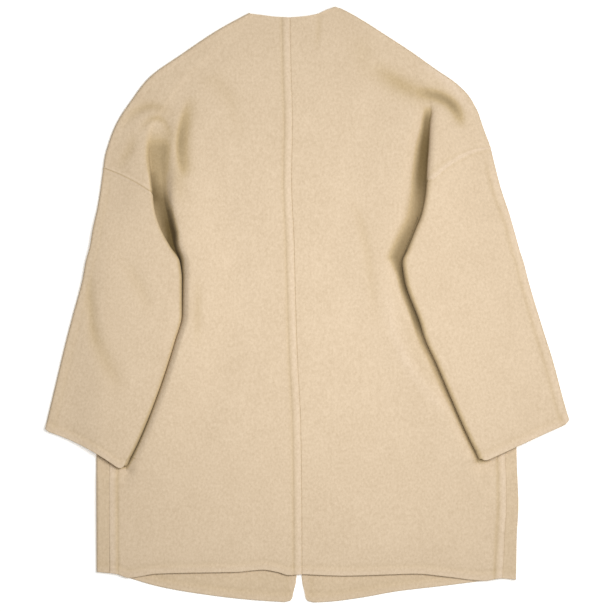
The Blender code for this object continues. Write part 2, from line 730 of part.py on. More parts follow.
def sleeve_loop(half, along):
    """Row round a sleeve at one station: from the hidden edge of its under cloth out to the outer edge, over
    the top, round the inner fold and back under. It carries the lengths along it to the outer edge's turn, the
    top of the fold, the foot of the fold and the outer seam, and the gap there."""
    edge_out, edge_y = sleeve_line(half, along, 0.0)
    width = math.hypot(*np.subtract(sleeve_line(half, along, 1.0), (edge_out, edge_y)))
    start = (EDGE_LEVEL - FLOOR_LEVEL) / 2 / width
    outs, ys = sleeve_line(half, along, np.linspace(start, 1.0, LINE_POINTS))
    top = line_points(outs, ys, upper_level(half, outs, ys))
    first = share_at(half, along, front_armhole) - SEAM_GAP / width
    outs, ys = sleeve_line(half, along, np.linspace(first, start, LINE_POINTS))
    under = line_points(outs, ys, under_level(half, outs, ys))
    radius = (top[0, 2] - under[-1, 2]) / 2
    angle = np.linspace(0.0, math.pi, BEND_POINTS)
    outs, ys = sleeve_line(half, along, start * (1 - np.sin(angle)))
    edge = line_points(outs, ys, under[-1, 2] + radius * (1 - np.cos(angle)))

    y = top[-1, 1]
    dive = dive_share(half, y)
    bend = fold_bend(half, y)
    angle = np.linspace(0.0, bend.turn * mix(LEAST_TURN, 1.0, dive), BEND_POINTS)
    radius = (top[-1, 2] - SLEEVE_UNDER_LEVEL) / 2 if dive >= 1.0 else bend.upper
    bulb = line_points(top[-1, 0] - bend.upper * np.sin(angle), y, top[-1, 2] - radius * (1 - np.cos(angle)))
    pieces = [under, edge, top, bulb]
    if dive >= 1.0:
        last = min(share_at(half, along, back_armhole) + TUCK_GAP / width, 1.0 - SHORTEST_TUCK / width)
        outs, ys = sleeve_line(half, along, np.linspace(1.0, last, LINE_POINTS))
        pieces.append(line_points(outs, ys, SLEEVE_UNDER_LEVEL))
    floor = distances(under)[-1]
    reach = mix(EDGE_REACH, SHOULDER_REACH, ease(along / SLEEVE_REACH_FADE))
    seam = floor + distances(edge)[-1] / 2 + reach
    fold = floor + distances(edge)[-1] + distances(top)[-1]
    return SleeveLoop(join_lines(*pieces), floor, fold, fold + distances(bulb)[-1], seam, seam_gap(reach))


def sleeve_back_row(half, along):
    """One row of the sleeve's back: from the outer seam over the top, round the inner fold and under."""
    loop = sleeve_loop(half, along)
    total = distances(loop.points)[-1]
    start = loop.seam + loop.gap / 2
    bulb = loop.bulb if loop.bulb < total - TINY else mix(loop.fold, total, BULB_SHARE)
    return Row(cut_row(loop.points, start, total), (loop.fold - start, bulb - start))


def sleeve_front_row(half, along):
    """One row of the sleeve's front: from the underarm or armhole seam along the under side, and round the
    outer edge up to the outer seam."""
    loop = sleeve_loop(half, along)
    return Row(cut_row(loop.points, 0.0, loop.seam - loop.gap / 2), (loop.floor,))


def sleeve_back(half):
    """Grid of the sleeve's back half."""
    rows = [sleeve_back_row(half, along) for along in STATIONS]
    grid = np.array([spread(row, SLEEVE_BACK_STEPS, BAND_LIPS) for row in rows])
    return with_along(grid, (DIVE_STATION,))


def sleeve_front(half):
    """Grid of the sleeve's front half."""
    rows = [sleeve_front_row(half, along) for along in STATIONS]
    return with_along(np.array([spread(row, SLEEVE_FRONT_STEPS) for row in rows]), ())


def band_rise(grid, at_start, at_end):
    """Height of the felled seam bands: raised within a band's width of a row's start or end."""
    step = np.linalg.norm(np.diff(grid[..., :3], axis=1), axis=2)
    along = np.concatenate((np.zeros((len(grid), 1)), np.cumsum(step, axis=1)), axis=1)
    edge = BAND_WIDTH + BAND_SLOPE / 2
    rise = ease((edge - along) / BAND_SLOPE) * at_start[:, None]
    rise += ease((edge - (along[:, -1:] - along)) / BAND_SLOPE) * at_end[:, None]
    return BAND_RISE * np.minimum(rise, 1.0)


def wool_material(name):
    """Napped beige wool."""
    material = bpy.data.materials.new(name + "_wool")
    material.use_nodes = True
    shader = material.node_tree.nodes["Principled BSDF"]
    shader.inputs["Base Color"].default_value = WOOL_COLOUR
    shader.inputs["Roughness"].default_value = WOOL_ROUGHNESS
    shader.inputs["Metallic"].default_value = 0.0
    material.diffuse_color = WOOL_COLOUR
    return material


def add_panel(name, grid, sign, faces_up, rise=0.0):
    """Give a grid of points its wall and make it a closed solid: an outer and an inner sheet and a rim."""
    middle = grid[..., :3] * (sign, 1.0, 1.0)
    across = grid[..., 3:6] * (sign, 1.0, 1.0)
    along = grid[..., 6:] * (sign, 1.0, 1.0)
    normal = np.cross(across, along)
    normal /= np.linalg.norm(normal, axis=2, keepdims=True)
    flip = (normal[..., 2].sum() > 0) != faces_up
    if flip:
        normal = -normal
    outer = middle + normal * (HALF_CLOTH + np.asarray(rise)[..., None])
    inner = middle - normal * HALF_CLOTH
    rows, columns = middle.shape[:2]
    count = rows * columns
    index = np.arange(count).reshape(rows, columns)
    quads = np.stack((index[:-1, :-1], index[:-1, 1:], index[1:, 1:], index[1:, :-1]), axis=-1).reshape(-1, 4)
    rim = np.concatenate((index[0, :-1], index[:-1, -1], index[-1, :0:-1], index[:0:-1, 0]))
    rim_next = np.roll(rim, -1)
    sides = np.stack((rim, rim + count, rim_next + count, rim_next), axis=-1)
    faces = np.concatenate((quads, quads[:, ::-1] + count, sides))
    if flip:
        faces = faces[:, ::-1]
    mesh = bpy.data.meshes.new(name)
    points = np.concatenate((outer.reshape(-1, 3), inner.reshape(-1, 3)))
    mesh.from_pydata(points.tolist(), [], faces.tolist())
    mesh.shade_smooth()
    mesh.materials.append(wool_material(name))
    piece = bpy.data.objects.new(name, mesh)
    bpy.context.scene.collection.objects.link(piece)


for old in list(bpy.data.objects):
    bpy.data.objects.remove(old)

LEFT = make_half(
    name="left",
    sign=-1,
    sections=LEFT_SECTIONS,
    side=LEFT_SIDE,
    neck=LEFT_NECK,
    back_hem=LEFT_BACK_HEM,
    front_hem=LEFT_FRONT_HEM,
    armhole=LEFT_ARMHOLE,
    cuff=LEFT_CUFF,
)
RIGHT = make_half(
    name="right",
    sign=1,
    sections=RIGHT_SECTIONS,
    side=RIGHT_SIDE,
    neck=RIGHT_NECK,
    back_hem=RIGHT_BACK_HEM,
    front_hem=RIGHT_FRONT_HEM,
    armhole=RIGHT_ARMHOLE,
    cuff=RIGHT_CUFF,
)

for half in (LEFT, RIGHT):
    back = back_panel(half)
    row_y = back[:, -1, 1]
    outer_band = ((row_y > half.armhole.top + REACH_FADE) | (row_y < half.armhole.under)).astype(float)
    centre_band = np.full(len(back), 1.0 if half.name == "left" else 0.0)
    add_panel("back_" + half.name, back, half.sign, True, band_rise(back, centre_band, outer_band))
    add_panel("front_" + half.name, front_panel(half), half.sign, False)
    upper = sleeve_back(half)
    outer_seam = (np.array(STATIONS) > SLEEVE_REACH_FADE).astype(float)
    no_seam = np.zeros(len(upper))
    add_panel("sleeve_back_" + half.name, upper, half.sign, True, band_rise(upper, outer_seam, no_seam))
    add_panel("sleeve_front_" + half.name, sleeve_front(half), half.sign, False)
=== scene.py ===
"""Looks of a collarless wool coat that lies flat with its back up, in metres, in the frame of its solids.

Each cut-and-sewn panel is a fine sheet of cloth with a wall, worked out on a grid of rows and columns. Inside a
half of the coat a place is given by its distance "out" from the middle line, its y and its height.
"""

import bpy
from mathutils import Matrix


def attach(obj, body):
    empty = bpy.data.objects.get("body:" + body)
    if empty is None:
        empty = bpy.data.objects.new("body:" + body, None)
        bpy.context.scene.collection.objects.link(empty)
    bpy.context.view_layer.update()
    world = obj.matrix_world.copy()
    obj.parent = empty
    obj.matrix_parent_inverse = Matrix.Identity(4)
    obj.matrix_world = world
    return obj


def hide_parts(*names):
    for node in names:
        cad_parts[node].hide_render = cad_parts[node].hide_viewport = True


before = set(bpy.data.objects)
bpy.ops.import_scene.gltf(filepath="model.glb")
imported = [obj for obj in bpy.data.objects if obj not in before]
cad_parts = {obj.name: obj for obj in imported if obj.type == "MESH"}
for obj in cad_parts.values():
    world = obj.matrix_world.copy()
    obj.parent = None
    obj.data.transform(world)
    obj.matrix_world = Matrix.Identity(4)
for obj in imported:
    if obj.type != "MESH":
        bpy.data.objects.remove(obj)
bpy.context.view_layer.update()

from collections import namedtuple
from types import SimpleNamespace

import bpy
import numpy as np

# ------------------------------------------------------------------------------------------------ The two backs
# Each half of the back is one panel of thick double-faced wool, cut in one with its dropped shoulder. The centre
# seam is felled to the left. The lower edge is turned up and felled by hand, and the cloth dips beside the sleeves.

# Wall of the cloth, and heights of the middle of its layers.
CLOTH = 0.0024
HALF_CLOTH = CLOTH / 2
FLOOR_LEVEL = HALF_CLOTH
EDGE_LEVEL = 0.0060
SLEEVE_UNDER_LEVEL = 0.0088

# One row for each section of a half, neck to hem: y, outline, inner fold of the sleeve or slit, height of the cloth
# at the foot of that fold, height of its ridge, and the angle in degrees that the cloth turns through there.
LEFT_SECTIONS = (
    (0.437, 0.0885, 0.068, 0.0046, 0.0047, 4),
    (0.412, 0.134, 0.101, 0.0056, 0.0058, 6),
    (0.376, 0.188, 0.143, 0.0066, 0.0069, 6),
    (0.340, 0.238, 0.182, 0.0074, 0.0078, 8),
    (0.304, 0.266, 0.209, 0.0080, 0.0086, 10),
    (0.277, 0.284, 0.226, 0.0082, 0.0096, 18),
    (0.255, 0.294, 0.2350, 0.0078, 0.0110, 34),
    (0.240, 0.299, 0.2365, 0.0066, 0.0124, 58),
    (0.223, 0.304, 0.237, 0.0056, 0.0134, 74),
    (0.202, 0.307, 0.235, 0.0050, 0.0144, 88),
    (0.172, 0.311, 0.232, 0.0046, 0.0148, 108),
    (0.156, 0.3135, 0.2310, 0.0044, 0.0148, 180),
    (0.142, 0.316, 0.229, 0.0044, 0.0146, 180),
    (0.115, 0.322, 0.2205, 0.0044, 0.0142, 180),
    (0.088, 0.3265, 0.2062, 0.0044, 0.0140, 180),
    (0.064, 0.333, 0.1912, 0.0046, 0.0138, 180),
    (0.037, 0.338, 0.1880, 0.0048, 0.0137, 180),
    (-0.015, 0.352, 0.1882, 0.0050, 0.0136, 180),
    (-0.053, 0.362, 0.1982, 0.0050, 0.0136, 180),
    (-0.128, 0.380, 0.2226, 0.0050, 0.0134, 180),
    (-0.200, 0.397, 0.251, 0.0050, 0.0131, 180),
    (-0.247, 0.407, 0.2743, 0.0053, 0.0128, 180),
    (-0.262, 0.410, 0.282, 0.0072, 0.0126, 180),
    (-0.300, 0.418, 0.302, 0.0074, 0.0126, 180),
    (-0.412, 0.440, 0.302, 0.0048, 0.0126, 180),
)
RIGHT_SECTIONS = (
    (0.4465, 0.0420, 0.028, 0.0046, 0.0047, 4),
    (0.4445, 0.0490, 0.033, 0.0047, 0.0048, 4),
    (0.4395, 0.0592, 0.041, 0.0049, 0.0051, 5),
    (0.430, 0.0765, 0.056, 0.0054, 0.0056, 6),
    (0.403, 0.119, 0.097, 0.0064, 0.0067, 6),
    (0.376, 0.160, 0.131, 0.0072, 0.0076, 8),
    (0.349, 0.197, 0.158, 0.0078, 0.0083, 9),
    (0.331, 0.223, 0.172, 0.0080, 0.0088, 12),
    (0.313, 0.242, 0.181, 0.0080, 0.0092, 14),
    (0.300, 0.250, 0.1850, 0.0076, 0.0102, 26),
    (0.288, 0.2562, 0.1860, 0.0060, 0.0135, 64),
    (0.275, 0.2605, 0.1840, 0.0053, 0.0160, 80),
    (0.262, 0.265, 0.1832, 0.0050, 0.0182, 90),
    (0.2366, 0.2745, 0.1818, 0.0048, 0.0204, 98),
    (0.210, 0.281, 0.1798, 0.0046, 0.0214, 106),
    (0.190, 0.286, 0.1786, 0.0046, 0.0218, 112),
    (0.175, 0.2900, 0.1780, 0.0046, 0.0218, 180),
    (0.139, 0.302, 0.172, 0.0046, 0.0216, 180),
    (0.1106, 0.310, 0.1612, 0.0046, 0.0212, 180),
    (0.082, 0.318, 0.1496, 0.0046, 0.0206, 180),
    (0.064, 0.324, 0.1424, 0.0048, 0.0198, 180),
    (0.037, 0.331, 0.1456, 0.0048, 0.0188, 180),
    (-0.023, 0.349, 0.1670, 0.0048, 0.0178, 180),
    (-0.053, 0.3585, 0.1766, 0.0049, 0.0172, 180),
    (-0.083, 0.368, 0.1906, 0.0050, 0.0166, 180),
    (-0.143, 0.384, 0.2164, 0.0050, 0.0160, 180),
    (-0.188, 0.397, 0.2362, 0.0050, 0.0150, 180),
    (-0.240, 0.412, 0.2620, 0.0053, 0.0139, 180),
    (-0.256, 0.4165, 0.270, 0.0072, 0.0136, 180),
    (-0.300, 0.428, 0.300, 0.0074, 0.0130, 180),
    (-0.412, 0.455, 0.300, 0.0048, 0.0130, 180),
)

# By y, the side edge of the body, and how far the front reaches up round it to the side seam.
LEFT_SIDE = (
    (0.082, 0.3062, 0.0004),
    (0.050, 0.3080, 0.0050),
    (0.000, 0.3120, 0.0105),
    (-0.150, 0.3165, 0.0175),
    (-0.245, 0.3170, 0.0200),
    (-0.405, 0.3165, 0.0198),
)
RIGHT_SIDE = (
    (0.082, 0.2972, 0.0004),
    (0.050, 0.3000, 0.0048),
    (0.000, 0.3050, 0.0095),
    (-0.150, 0.3120, 0.0155),
    (-0.245, 0.3145, 0.0174),
    (-0.300, 0.3165, 0.0189),
    (-0.350, 0.3140, 0.0189),
    (-0.412, 0.3130, 0.0204),
)

# By y, the x of the centre-back seam and the height of the back beside it.
CENTRE_BACK = (
    (0.437, -0.0263, 0.0044),
    (0.400, -0.0258, 0.0062),
    (0.340, -0.0245, 0.0084),
    (0.277, -0.0225, 0.0100),
    (0.187, -0.0240, 0.0110),
    (0.097, -0.0203, 0.0112),
    (0.007, -0.0180, 0.0110),
    (-0.083, -0.0150, 0.0106),
    (-0.173, -0.0105, 0.0098),
    (-0.263, -0.0090, 0.0086),
    (-0.340, -0.0085, 0.0070),
    (-0.412, -0.0083, 0.0048),
)

# By y, the bank of the body beside each sleeve: how far in from the fold it starts, how wide it is, and how much
# higher than the level of the back the cloth billows on top of it.
LEFT_BANK = (
    (0.437, 0.0060, 0.024, 0.0000),
    (0.304, 0.0100, 0.024, 0.0000),
    (0.275, 0.0130, 0.024, 0.0006),
    (0.250, 0.0145, 0.024, 0.0014),
    (0.225, 0.0145, 0.024, 0.0026),
    (0.202, 0.0140, 0.023, 0.0040),
    (0.172, 0.0140, 0.018, 0.0064),
    (0.142, 0.0165, 0.013, 0.0090),
    (0.112, 0.0130, 0.013, 0.0096),
    (0.090, 0.0062, 0.011, 0.0096),
    (0.064, 0.0012, 0.009, 0.0092),
    (0.030, 0.0006, 0.006, 0.0084),
    (-0.050, 0.0006, 0.005, 0.0078),
    (-0.100, 0.0006, 0.006, 0.0070),
    (-0.200, 0.0006, 0.008, 0.0050),
    (-0.242, 0.0008, 0.011, 0.0025),
    (-0.254, 0.0062, 0.015, 0.0017),
    (-0.285, 0.0062, 0.024, 0.0000),
    (-0.320, 0.0060, 0.024, 0.0000),
)
RIGHT_BANK = (
    (0.4465, 0.0065, 0.024, 0.0000),
    (0.305, 0.0065, 0.014, 0.0000),
    (0.285, 0.0065, 0.014, 0.0014),
    (0.262, 0.0065, 0.020, 0.0034),
    (0.230, 0.0065, 0.025, 0.0046),
    (0.175, 0.0065, 0.027, 0.0050),
    (0.120, 0.0040, 0.027, 0.0050),
    (0.085, 0.0028, 0.026, 0.0048),
    (0.055, 0.0016, 0.020, 0.0046),
    (0.020, 0.0008, 0.014, 0.0044),
    (-0.150, 0.0008, 0.012, 0.0040),
    (-0.229, 0.0008, 0.012, 0.0024),
    (-0.241, 0.0062, 0.015, 0.0016),
    (-0.280, 0.0062, 0.024, 0.0000),
    (-0.320, 0.0060, 0.024, 0.0000),
)

# By y, the painted shade of the wool in the hollow beside each sleeve, where shade falls: its depth, the width
# that is in full shade from the foot of the bank, the width over which it fades up the bank, its share at the fold,
# and how far it runs on over the fold.
LEFT_PAINTED_SHADE = (
    (0.270, 0.00, 0.006, 0.018, 1.00, 0.0100),
    (0.250, 0.18, 0.007, 0.018, 1.00, 0.0100),
    (0.234, 0.42, 0.007, 0.018, 1.00, 0.0095),
    (0.205, 0.41, 0.004, 0.017, 1.08, 0.0085),
    (0.190, 0.39, 0.001, 0.015, 1.75, 0.0060),
    (0.172, 0.56, 0.001, 0.011, 1.45, 0.0055),
    (0.156, 0.76, 0.001, 0.012, 1.00, 0.0160),
    (0.142, 0.79, 0.003, 0.012, 0.66, 0.0200),
    (0.112, 0.92, 0.006, 0.010, 0.60, 0.0200),
    (0.082, 1.00, 0.001, 0.010, 1.00, 0.0200),
    (0.052, 0.88, 0.000, 0.006, 1.00, 0.0200),
    (0.007, 0.76, 0.000, 0.004, 1.00, 0.0200),
    (-0.053, 0.46, 0.000, 0.002, 1.00, 0.0200),
    (-0.113, 0.46, 0.000, 0.004, 1.00, 0.0200),
    (-0.200, 0.80, 0.000, 0.005, 1.00, 0.0200),
    (-0.238, 0.84, 0.000, 0.006, 1.00, 0.0200),
    (-0.247, 0.00, 0.000, 0.006, 1.00, 0.0200),
)
RIGHT_PAINTED_SHADE = (
    (0.300, 0.00, 0.000, 0.010, 1.00, 0.0024),
    (0.277, 0.70, 0.000, 0.010, 0.95, 0.0022),
    (0.232, 0.86, 0.003, 0.016, 1.00, 0.0020),
    (0.190, 0.82, 0.004, 0.018, 1.00, 0.0020),
    (0.175, 0.76, 0.003, 0.020, 1.00, 0.0150),
    (0.142, 0.64, 0.000, 0.027, 1.00, 0.0200),
    (0.074, 0.66, 0.008, 0.022, 1.00, 0.0200),
    (0.062, 0.69, 0.005, 0.016, 1.00, 0.0200),
    (0.040, 0.74, 0.004, 0.009, 1.00, 0.0200),
    (0.007, 0.70, 0.004, 0.010, 1.00, 0.0200),
    (-0.023, 0.70, 0.007, 0.006, 1.00, 0.0200),
    (-0.053, 0.50, 0.004, 0.010, 1.00, 0.0200),
    (-0.113, 0.54, 0.001, 0.013, 1.00, 0.0200),
    (-0.188, 0.60, 0.000, 0.009, 1.00, 0.0200),
    (-0.227, 0.60, 0.000, 0.009, 1.00, 0.0200),
    (-0.240, 0.00, 0.000, 0.009, 1.00, 0.0200),
)

# By the level of a row at the side, the x of the middle of the front opening and half its width.
CENTRE_FRONT = (
    (0.290, -0.0230, 0.0014),
    (-0.200, -0.0125, 0.0014),
    (-0.360, -0.0122, 0.0022),
    (-0.387, -0.0126, 0.0038),
    (-0.412, -0.0128, 0.0086),
    (-0.4165, -0.0128, 0.0094),
)

# By distance out from the middle line, the y of the neck and hem lines.
LEFT_NECK = (
    (0.026, 0.4313),
    (0.045, 0.4320),
    (0.070, 0.4350),
    (0.0885, 0.4370),
)
RIGHT_NECK = (
    (-0.026, 0.4313),
    (-0.004, 0.4330),
    (0.015, 0.4367),
    (0.0300, 0.4432),
    (0.0420, 0.4465),
)
LEFT_BACK_HEM = (
    (0.008, -0.4046),
    (0.028, -0.4061),
    (0.045, -0.4013),
    (0.067, -0.3979),
    (0.107, -0.4013),
    (0.174, -0.4024),
    (0.2265, -0.4039),
    (0.2685, -0.4099),
    (0.286, -0.4043),
    (0.298, -0.4025),
)
RIGHT_BACK_HEM = (
    (-0.0083, -0.4046),
    (0.055, -0.4069),
    (0.126, -0.4049),
    (0.162, -0.4039),
    (0.210, -0.4084),
    (0.245, -0.4129),
    (0.265, -0.4144),
    (0.291, -0.4108),
    (0.303, -0.4120),
)
LEFT_FRONT_HEM = (
    (0.015, -0.4476),
    (0.085, -0.4430),
    (0.161, -0.4340),
    (0.221, -0.4234),
    (0.2685, -0.4099),
    (0.286, -0.4043),
    (0.3165, -0.4009),
)
RIGHT_FRONT_HEM = (
    (-0.010, -0.4476),
    (0.031, -0.4459),
    (0.079, -0.4399),
    (0.136, -0.4300),
    (0.197, -0.4228),
    (0.245, -0.4168),
    (0.265, -0.4144),
    (0.291, -0.4108),
    (0.313, -0.4129),
)

# Armhole: y where the seam leaves the shoulder line, where it reaches the fold, where it has dived under it and
# at the underarm, its place on the floor side, and its bow to the neck. Cuff: y of its outer and inner corner, its
# bow, and how far each corner is rounded.
Armhole = namedtuple("Armhole", "top inner dive under front_out bow")
LEFT_ARMHOLE = Armhole(0.205, 0.171, 0.156, 0.082, 0.3000, 0.003)
RIGHT_ARMHOLE = Armhole(0.2366, 0.190, 0.175, 0.082, 0.2675, 0.0095)
Cuff = namedtuple("Cuff", "outer inner bow outer_round inner_round")
LEFT_CUFF = Cuff(-0.1895, -0.249, 0.0065, 0.004, 0.008)
RIGHT_CUFF = Cuff(-0.1775, -0.236, 0.0004, 0.006, 0.005)

# Creases of the upper cloth: three points of each line by distance out and y, half width on its outer and on its
# inner side, depth, and painted shade of its trough. A negative depth is a soft ridge, and a negative shade a painted
# highlight on it.
Crease = namedtuple("Crease", "start middle end outer inner depth shade")
CREASES = {
    "left": (
        Crease((0.173, 0.3146), (0.1912, 0.244), (0.179, 0.188), 0.0062, 0.0125, 0.0036, 0.46),
        Crease((0.190, 0.226), (0.1935, 0.190), (0.190, 0.145), 0.0120, 0.0130, 0.0006, 0.11),
        Crease((0.281, 0.264), (0.2405, 0.2965), (0.198, 0.280), 0.0075, 0.0080, 0.0018, 0.17),
        Crease((0.254, 0.256), (0.2235, 0.2795), (0.200, 0.242), 0.0055, 0.0055, 0.0014, 0.21),
        Crease((0.258, 0.262), (0.268, 0.2300), (0.286, 0.203), 0.0080, 0.0080, 0.0010, 0.12),
        Crease((0.172, 0.332), (0.125, 0.3220), (0.100, 0.235), 0.0120, 0.0120, 0.0006, 0.06),
        Crease((0.285, 0.075), (0.252, 0.0300), (0.236, -0.020), 0.0100, 0.0100, 0.0008, 0.06),
        Crease((0.3255, 0.052), (0.3245, -0.008), (0.315, -0.066), 0.0070, 0.0080, 0.0014, 0.16),
        Crease((0.3240, -0.022), (0.3075, -0.073), (0.274, -0.132), 0.0110, 0.0120, 0.0010, 0.12),
        Crease((0.164, 0.045), (0.1645, -0.010), (0.166, -0.070), 0.0060, 0.0060, 0.0004, 0.10),
    ),
    "right": (
        Crease((0.098, 0.362), (0.142, 0.3305), (0.205, 0.306), 0.0125, 0.0160, 0.0030, 0.24),
        Crease((0.160, 0.3195), (0.2125, 0.3042), (0.2305, 0.262), 0.0080, 0.0090, 0.0034, 0.56),
        Crease((0.160, 0.366), (0.214, 0.3310), (0.249, 0.280), 0.0050, 0.0060, -0.0015, -0.10),
        Crease((0.078, 0.408), (0.085, 0.3720), (0.096, 0.330), 0.0170, 0.0170, 0.0008, 0.06),
        Crease((0.016, 0.447), (0.0175, 0.415), (0.0125, 0.378), 0.0040, 0.0050, 0.0006, 0.09),
        Crease((0.064, 0.160), (0.088, 0.0900), (0.103, -0.040), 0.0080, 0.0080, 0.0008, 0.08),
        Crease((0.121, 0.040), (0.1425, -0.072), (0.224, -0.174), 0.0080, 0.0080, -0.0008, -0.06),
        Crease((0.150, 0.010), (0.1660, -0.075), (0.212, -0.140), 0.0090, 0.0090, 0.0004, 0.05),
    ),
}


def ease(share):
    """Soft step from 0 to 1: three times the square less twice the cube."""
    share = np.clip(share, 0.0, 1.0)
    return share * share * (3.0 - 2.0 * share)


def mix(start, end, share):
    """Value a share of the way from start to end."""
    return start + (end - start) * share


def bell(distance, width):
    """Bell curve of a distance."""
    return np.exp(-((distance / width) ** 2))


def round_off(share):
    """How far a round edge has fallen away: a quarter circle, 1 at share 0 and 0 from share 1 on."""
    return 1.0 - np.sqrt(1.0 - np.clip(1.0 - share, 0.0, 1.0) ** 2)


def curve_through(places, values):
    """Smooth curve through table values: cubic pieces whose slopes are the harmonic mean of their neighbours'
    rises, so that no piece overshoots a row."""
    order = np.argsort(places)
    at = np.asarray(places, float)[order]
    value = np.asarray(values, float)[order]
    step = np.diff(at)
    rise = np.diff(value) / step
    slope = np.zeros_like(value)
    slope[0] = rise[0]
    slope[-1] = rise[-1]
    product = rise[:-1] * rise[1:]
    total = rise[:-1] + rise[1:]
    same_way = product > 0
    slope[1:-1][same_way] = 2.0 * product[same_way] / total[same_way]

    def curve(place):
        place = np.clip(place, at[0], at[-1])
        piece = np.clip(np.searchsorted(at, place, side="right") - 1, 0, len(step) - 1)
        t = (place - at[piece]) / step[piece]
        start = value[piece] * (1 + 2 * t) * (1 - t) ** 2 + slope[piece] * step[piece] * t * (1 - t) ** 2
        end = value[piece + 1] * (3 - 2 * t) * t ** 2 - slope[piece + 1] * step[piece] * (1 - t) * t ** 2
        return start + end

    return curve


def curves(names, rows):
    """A curve for each named column of a table, over its first column."""
    places, *columns = zip(*rows)
    return {name: curve_through(places, values) for name, values in zip(names.split(), columns)}


def make_half(name, sign, sections, side, bank, painted_shade, neck, back_hem, front_hem, armhole, cuff):
    """Gather one half of the coat: its tables as curves, its armhole and its cuff."""
    return SimpleNamespace(
        name=name,
        sign=sign,
        neck_point=neck[-1][1],
        armhole=armhole,
        cuff=cuff,
        **curves("edge fold foot ridge turn", sections),
        **curves("side reach", side),
        **curves("inset bank billow", bank),
        **curves("shade floor fade across over", painted_shade),
        **curves("neck", neck),
        **curves("back_hem", back_hem),
        **curves("front_hem", front_hem),
    )


LEFT = make_half(
    "left", -1, LEFT_SECTIONS, LEFT_SIDE, LEFT_BANK, LEFT_PAINTED_SHADE, LEFT_NECK,
    LEFT_BACK_HEM, LEFT_FRONT_HEM, LEFT_ARMHOLE, LEFT_CUFF,
)
RIGHT = make_half(
    "right", 1, RIGHT_SECTIONS, RIGHT_SIDE, RIGHT_BANK, RIGHT_PAINTED_SHADE, RIGHT_NECK,
    RIGHT_BACK_HEM, RIGHT_FRONT_HEM, RIGHT_ARMHOLE, RIGHT_CUFF,
)
centre_x, centre_level = curves("x level", CENTRE_BACK).values()
opening_x, opening_half = curves("x half", CENTRE_FRONT).values()

CREASE_SAMPLES = 80
HALF_SAMPLE = 0.5


def creased(creases, half, out, y, name):
    """Sum of one named value, depth or painted shade, of the creases of a half. Each crease follows a parabola through
    its three points. Across it the value falls off as a bell with its own width on each side, and along it the value
    fades to both ends as a sine."""
    out, y = np.broadcast_arrays(out, y)
    total = np.zeros(out.shape)
    t = np.linspace(0.0, 1.0, CREASE_SAMPLES)
    for crease in creases[half.name]:
        start, middle, end = (np.array(point)[:, None] for point in crease[:3])
        line = start * (1 - t) * (1 - 2 * t) + middle * 4 * t * (1 - t) + end * t * (2 * t - 1)
        heading = np.gradient(line, axis=1)
        nearest = np.argmin((out[..., None] - line[0]) ** 2 + (y[..., None] - line[1]) ** 2, axis=-1)
        over, up = out - line[0][nearest], y - line[1][nearest]
        ahead, aside = heading[0][nearest], heading[1][nearest]
        beyond = np.clip((over * ahead + up * aside) / (ahead ** 2 + aside ** 2), -HALF_SAMPLE, HALF_SAMPLE)
        place = np.clip((nearest + beyond) / (CREASE_SAMPLES - 1), 0.0, 1.0)
        away = (over - beyond * ahead) ** 2 + (up - beyond * aside) ** 2
        width = np.where(ahead * up - aside * over > 0, crease.outer, crease.inner)
        total += getattr(crease, name) * np.sin(np.pi * place) * np.exp(-away / width ** 2)
    return total


def outline(half, y):
    """Middle of the cloth at the outline: half a wall inside it."""
    return half.edge(y) - HALF_CLOTH


def body_side(half, y):
    """Middle of the cloth at the side edge of the body."""
    return half.side(y) - HALF_CLOTH


# The step of the sleeve's upper cloth over the side edge of the body: its width, how far outside the edge it starts,
# its share of the whole rise, and the stretch up the coat over which it gives way to an even rise on the cap.
CAP_DROP = 0.062
CAP_DROP_START = 0.048
DROP_SHARE = 0.68
CAP_BLEND_FROM = 0.090
CAP_BLEND_OVER = 0.070


def upper_level(half, out, y):
    """Height of the upper cloth of shoulder cap and sleeve: it rises from the outline to the ridge of the
    fold, and below the underarm most of that rise is the step over the side edge of the body."""
    share = (half.edge(y) - out) / (half.edge(y) - half.fold(y))
    over_body = ease((half.side(y) + CAP_DROP_START - out) / CAP_DROP)
    sleeve = DROP_SHARE * over_body + (1 - DROP_SHARE) * ease(share)
    swell = mix(sleeve, ease(share), ease((y - CAP_BLEND_FROM) / CAP_BLEND_OVER))
    return EDGE_LEVEL + (half.ridge(y) - EDGE_LEVEL) * swell - creased(CREASES, half, out, y, "depth")


def lip(half, y):
    """Distance out of the foot of the body's bank."""
    return half.fold(y) - half.inset(y)


# How much further than the bank the back climbs to its level, the width over which the billow fades, the inset from
# which the foot of the bank is soft, and the lowest that the back may lie.
BANK_CREST = 0.006
BILLOW_FADE = 0.090
SOFT_FOOT = 0.006
LOWEST_BACK = 0.0042


def back_level(half, out, y):
    """Height of the back: low beside the sleeve, then up a bank to a billow, which fades over a set width into the
    level at the centre. The bank is a quarter ellipse where its foot lies at the sleeve and a soft step where it
    lies clear of it. The creases are taken off."""
    low = half.foot(y)
    width = half.bank(y)
    inside = lip(half, y) - out
    level = low + (centre_level(y) - low) * ease(inside / (width + BANK_CREST))
    share = inside / width
    up = mix(1.0 - round_off(share), ease(share), ease(half.inset(y) / SOFT_FOOT))
    away = ease((inside - width) / BILLOW_FADE)
    level = level + half.billow(y) * up * (1.0 - away) - creased(CREASES, half, out, y, "depth")
    return np.maximum(level, LOWEST_BACK)


Bend = namedtuple("Bend", "turn lower upper start foot_out")
LEAST_LOWER_BEND = 0.26
MOST_LOWER_BEND = 0.50


